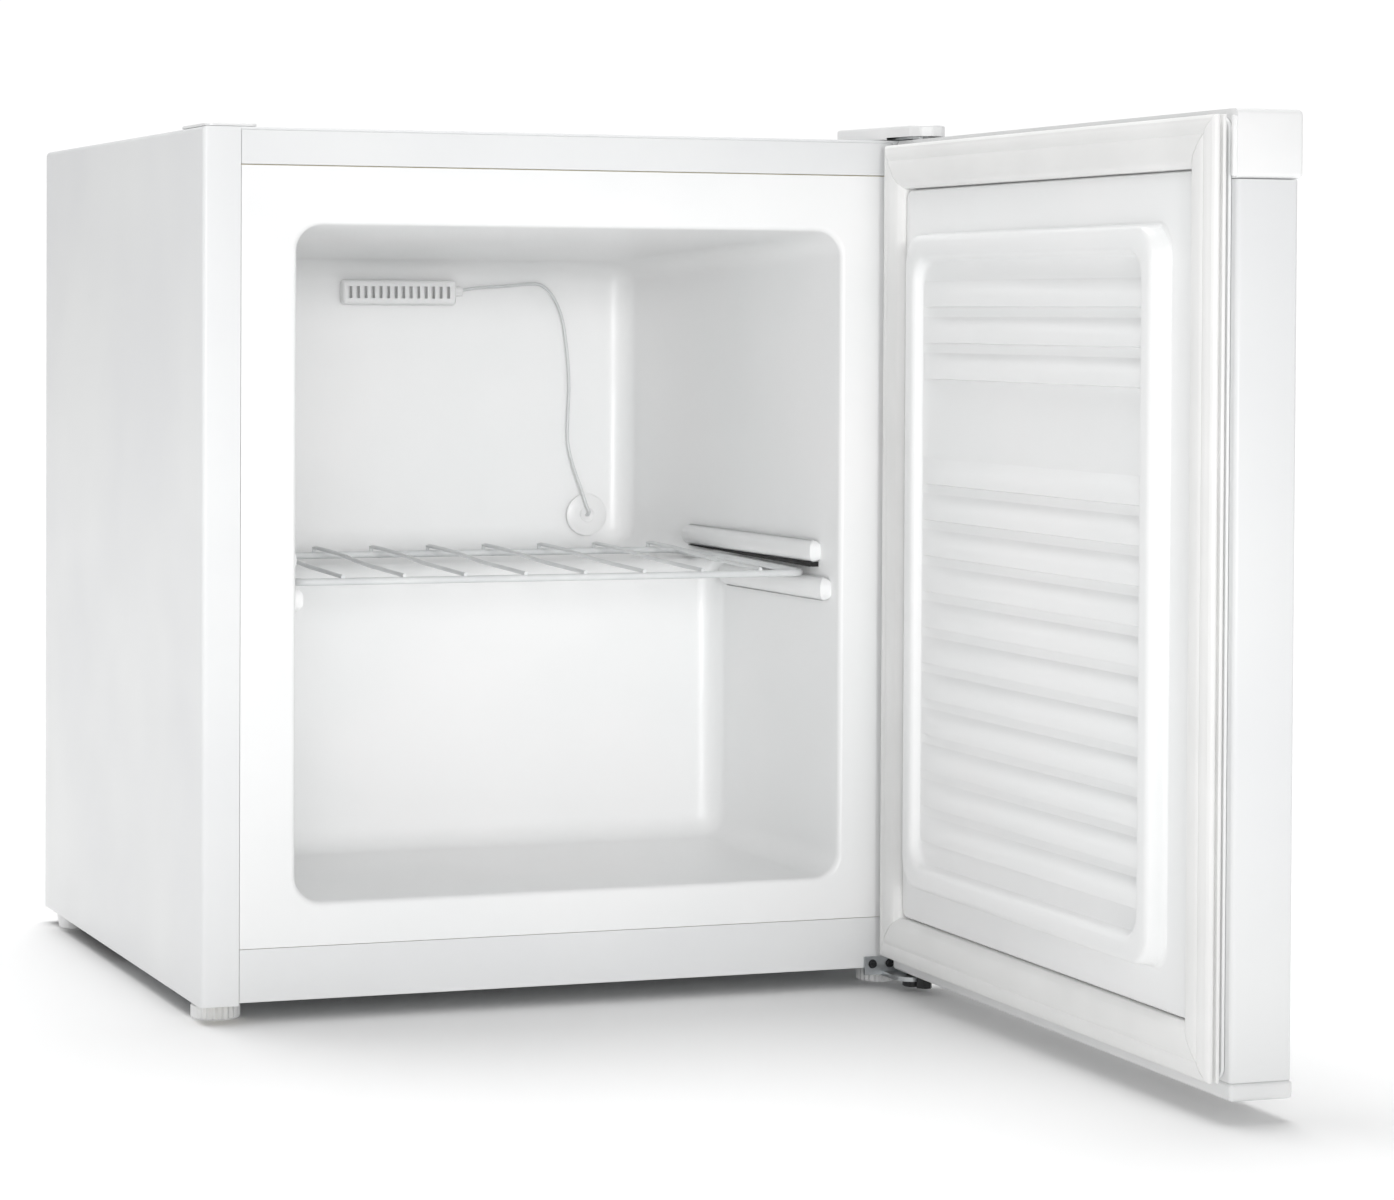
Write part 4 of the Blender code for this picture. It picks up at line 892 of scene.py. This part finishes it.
def swelling(z, reach):
    """One rib: a long slope above, a short turn under, dying away towards the hinge."""
    rib = block("rib", (-reach, reach), (-4, -0.3), (z - 7, z + 9))
    edit(rib)
    pick(rib, lambda f: f.normal.y > 0.9)
    climb = ((2.4, 1.2, -0.6), (2.6, 1.7, -1.0), (2.6, 1.3, -1.2), (2.4, 0.6, -1.1),
             (2.4, 0.1, -0.7))
    fade = 11
    deep, tall, length, centre = -0.3, 16.0, 2 * reach, z + 1.0
    for drawn, rise, sink in climb:
        bpy.ops.mesh.extrude_region_move(TRANSFORM_OT_translate={"value": (0, rise * MM, 0)})
        deep += rise
        bpy.ops.transform.resize(value=((length - fade) / length, 1, (tall - drawn) / tall),
                                 center_override=at(-reach, deep, centre))
        bpy.ops.transform.translate(value=(0, 0, sink * MM))
        tall -= drawn
        length -= fade
        centre += sink
    leave()
    return rib


def door_liner():
    """The formed inner face: rim, plateau, ridge frame and ribs across the field."""
    plateau = (187.9, 46.6, 471.9)

    def inner(inset, y):
        return (plateau[0] - inset, plateau[1] + inset, plateau[2] - inset, y)

    tray = terrace("door_liner", [(213, 21.5, 497, -12.7), (213, 21.5, 497, -11.4),
                                  (212.8, 21.7, 496.8, -11.2), inner(-1.6, -11.2),
                                  inner(-0.6, -10.8), inner(0, -9.8), inner(0.4, -7.0),
                                  inner(1.0, -6.0), inner(2.2, -5.5)], 6)

    def ridge(inset, y):
        return (RIDGE_HALF - inset, RIDGE_Z[0] + inset, RIDGE_Z[1] - inset, y)

    band = RIDGE_BAND
    loop = [ridge(-2.6, -5.6), ridge(-1.2, -5.3), ridge(-0.3, -4.2), ridge(0, -2.0),
            ridge(0.6, 3.4), ridge(1.3, 5.0), ridge(2.6, 5.8), ridge(4.4, 6.0),
            ridge(band - 4.4, 6.0), ridge(band - 2.6, 5.8), ridge(band - 1.3, 5.0),
            ridge(band - 0.5, 3.6), ridge(band + 0.2, 1.6), ridge(band + 1.2, 0.4),
            ridge(band + 3.0, 0.0)]
    frame_rail = terrace("ridge_frame", loop, 16)
    reach = RIDGE_HALF - band + 2
    ribs = [swelling(z, reach) for z in RIB_ROWS]
    joined(tray, frame_rail, *ribs)
    return placed(hung(tray), "white_polystyrene", "door", "door_liner")


# ---------------------------------------------------------------- feet

def scalloped(name, centre, radius, notch, low, high, count=24, axis="Z"):
    """A disc with a scalloped edge for the fingers."""
    disc = turned(name, ((radius - 1, low), (radius, low + 0.9), (radius, high - 0.9),
                         (radius - 1, high)), (0, 0, 0), "Z", count * 4)
    spot = at(0, 0, 0)
    for vert in disc.data.vertices:
        away = Vector((vert.co.x - spot.x, vert.co.y - spot.y))
        if away.length < radius * 0.5 * MM:
            continue
        dip = notch * (0.5 - 0.5 * math.cos(count * math.atan2(away.y, away.x)))
        scale = 1 - dip / radius
        vert.co.x = spot.x + away.x * scale
        vert.co.y = spot.y + away.y * scale
    turn = Matrix.Rotation(math.radians(-90), 4, "X") if axis == "Y" else Matrix.Identity(4)
    disc.data.transform(Matrix.Translation(at(*centre)) @ turn @ Matrix.Translation(-spot))
    return disc


def feet():
    """Screw feet in front, turned by hand, and plain ones behind."""
    for side, label in ((-1, "left"), (1, "right")):
        front = (side * FOOT_X, FRONT_FOOT_Y, 0)
        foot = scalloped(f"front_foot_{label}", front, 14, 0.9, 0, 8.2)
        collar = turned("collar", ((11, 8.0), (11, 9.4), (10.6, 9.6)), front)
        stud = turned("stud", ((4, 5), (4, 24)), front, "Z", 20)
        joined(foot, collar, stud)
        placed(foot, "white_abs", f"foot_{label}", f"front_foot_{label}")
        rear = turned(f"rear_foot_{label}", ((11.5, 0), (12.5, 0.3), (12.8, 1.2), (14, 9),
                                             (12, 11.4)), (side * FOOT_X, REAR_FOOT_Y, 0))
        placed(rear, "white_abs", "cabinet", f"rear_foot_{label}")


# ---------------------------------------------------------------- back of the cabinet

def copied(obj, shift):
    """A copy with its own mesh, moved by millimetres."""
    twin = obj.copy()
    twin.data = obj.data.copy()
    bpy.context.scene.collection.objects.link(twin)
    twin.data.transform(Matrix.Translation(Vector(shift) * MM))
    return twin


def panel_screws():
    """Cross-recessed pan heads that hold the back sheet."""
    x, seat, z = -208, 405.7, 478
    first = turned("panel_screw", ((3.6, 0), (3.6, 0.6), (3.2, 1.5), (2.2, 2.1), (0.8, 2.3)),
                   (x, seat, z), "Y", 28)
    for wide, tall in ((0.5, 1.9), (1.9, 0.5)):
        carved(first, block("recess", (x - wide, x + wide), (seat + 1.2, seat + 4),
                            (z - tall, z + tall)))
    shifts = [(across, 0, down) for across in (0, -2 * x) for down in (0, -130, -260)]
    others = [copied(first, shift) for shift in shifts[1:]]
    return placed(joined(first, *others), "zinc_plated_steel", "cabinet")


def condenser():
    """The serpentine tube and the thin wires spot-welded across both its sides."""
    half, y, first, pitch, runs = 176, 413, 222, 25, 11
    points = []
    for run in range(runs):
        side = 1 if run % 2 == 0 else -1
        z = first + run * pitch
        points += [(-side * half, y, z), (side * half, y, z)]
        if run < runs - 1:
            for step in range(1, 10):
                angle = math.radians(-90 + 18 * step)
                points.append((side * (half + pitch / 2 * math.cos(angle)), y,
                               z + pitch / 2 + pitch / 2 * math.sin(angle)))
    placed(wire("condenser_coil", points, 2.4, sides=4), "black_painted_steel", "cabinet",
           "condenser_coil")
    for side, depth in (("inner", y - 3.0), ("outer", y + 3.0)):
        rod = turned(f"condenser_wires_{side}", ((0.7, 213), (0.7, 481)), (-165, depth, 0), "Z", 6)
        fitted(rod, "ARRAY", count=56, use_relative_offset=False, use_constant_offset=True,
               constant_offset_displace=(6 * MM, 0, 0))
        placed(rod, "black_painted_steel", "cabinet")


def compressor():
    """The welded pot with its seam, its crimped filling stub and the clip on its relay cover."""
    x, y = -20, 330
    pot = turned("compressor_pot", ((30, 29.5), (46, 30), (54, 33), (58.6, 39), (60, 48),
                                    (60, 89.6), (62.0, 89.8), (62.8, 90.6), (62.8, 94.4),
                                    (62.0, 95.2), (60, 95.4), (60, 124), (58.6, 134), (54, 143),
                                    (46, 149.5), (34, 153.6), (20, 155.5), (6, 156), (0.5, 156)),
                 (x, y, 0), "Z", 72)
    placed(pot, "black_painted_steel", "cabinet", "compressor")
    stub = wire("filling_stub", flowing(((-70, 362, 66), (-78, 368, 68), (-86, 374, 80),
                                         (-87, 375, 100), (-87, 375, 112))), 2.6, sides=4)
    crimp = eased(block("crimp", (-90.4, -83.6), (374.2, 375.8), (110, 121)), 0.4, 2)
    placed(joined(stub, crimp), "copper_tube", "cabinet")
    clip = [(42, 306, 62), (76, 306, 62), (76, 306, 100), (76, 354, 100), (76, 354, 62),
            (42, 354, 62)]
    bail = wire("relay_clip", flowing(clip, 6), 0.9, sides=3)
    placed(bail, "zinc_plated_steel", "cabinet")


def pipes():
    """Discharge and suction pipes and the spun copper drier."""
    discharge = [(-50, 386, 60), (-50, 402, 60), (-80, 405, 74), (-150, 409, 110),
                 (-184, 413, 150), (-188, 413, 190), (-184, 413, 213)]
    placed(wire("discharge_pipe", flowing(discharge, 8), 2.4, sides=4), "copper_tube", "cabinet",
           "discharge_pipe")
    suction = [(8, 388, 62), (10, 398, 64), (48, 392.4, 90), (84, 392.4, 140), (96, 392.4, 180),
               (96, 392.4, 197)]
    placed(wire("suction_pipe", flowing(suction, 8), 3, sides=4), "copper_tube", "cabinet",
           "suction_pipe")
    drier = turned("filter_drier", ((1.4, 74), (2.6, 75), (3.4, 77.5), (5.6, 80), (7.4, 82.4),
                                    (8, 86), (8, 96), (7.4, 97), (8, 98), (8, 138), (7.4, 141.6),
                                    (5.6, 144), (3.4, 146.5), (2.6, 149), (1.4, 150)),
                   (116, 390, 0), "Z", 36)
    placed(drier, "copper_tube", "cabinet", "filter_drier")


def temperature_knob():
    """The fluted knob behind, its pointer, and the raised numbers round it."""
    x, seat, z = 160, 400.4, 165
    ring, step_deg = 22.4, 34
    knob = scalloped("temperature_knob", (x, seat, z), 17, 0.9, 0, 13.6, 12, "Y")
    carved(knob, block("pointer", (x - 0.8, x + 0.8), (seat + 12.6, seat + 15), (z + 5, z + 15.5)))
    placed(knob, "white_abs", "knob", "temperature_knob")
    marks = []
    for number in range(1, 6):
        angle = math.radians(90 + (number - 3) * step_deg)
        clear()
        bpy.ops.object.text_add()
        mark = bpy.context.object
        mark.data.body = str(number)
        mark.data.size = 6 * MM
        mark.data.extrude = 0.15 * MM
        mark.data.align_x = "CENTER"
        mark.data.align_y = "CENTER"
        mark.location = at(x - ring * math.cos(angle), 400.1, z + ring * math.sin(angle))
        mark.rotation_euler = (math.radians(90), 0, math.radians(180))
        bpy.ops.object.convert(target="MESH")
        marks.append(settled(f"dial_number_{number}"))
    numbers = joined(marks[0], *marks[1:])
    numbers.name = "dial_numbers"
    placed(numbers, "white_abs", "cabinet")


camera()
studio()
finish_frame_nodes()
cabinet_wrap()
cavity_liner()
shelf_guides()
wire_shelf()
sensor_clip()
feeler_tube()
tube_grommet()
door_sheet()
door_top_cap()
door_bottom_cap()
door_seal()
door_liner()
feet()
panel_screws()
condenser()
compressor()
pipes()
temperature_knob()
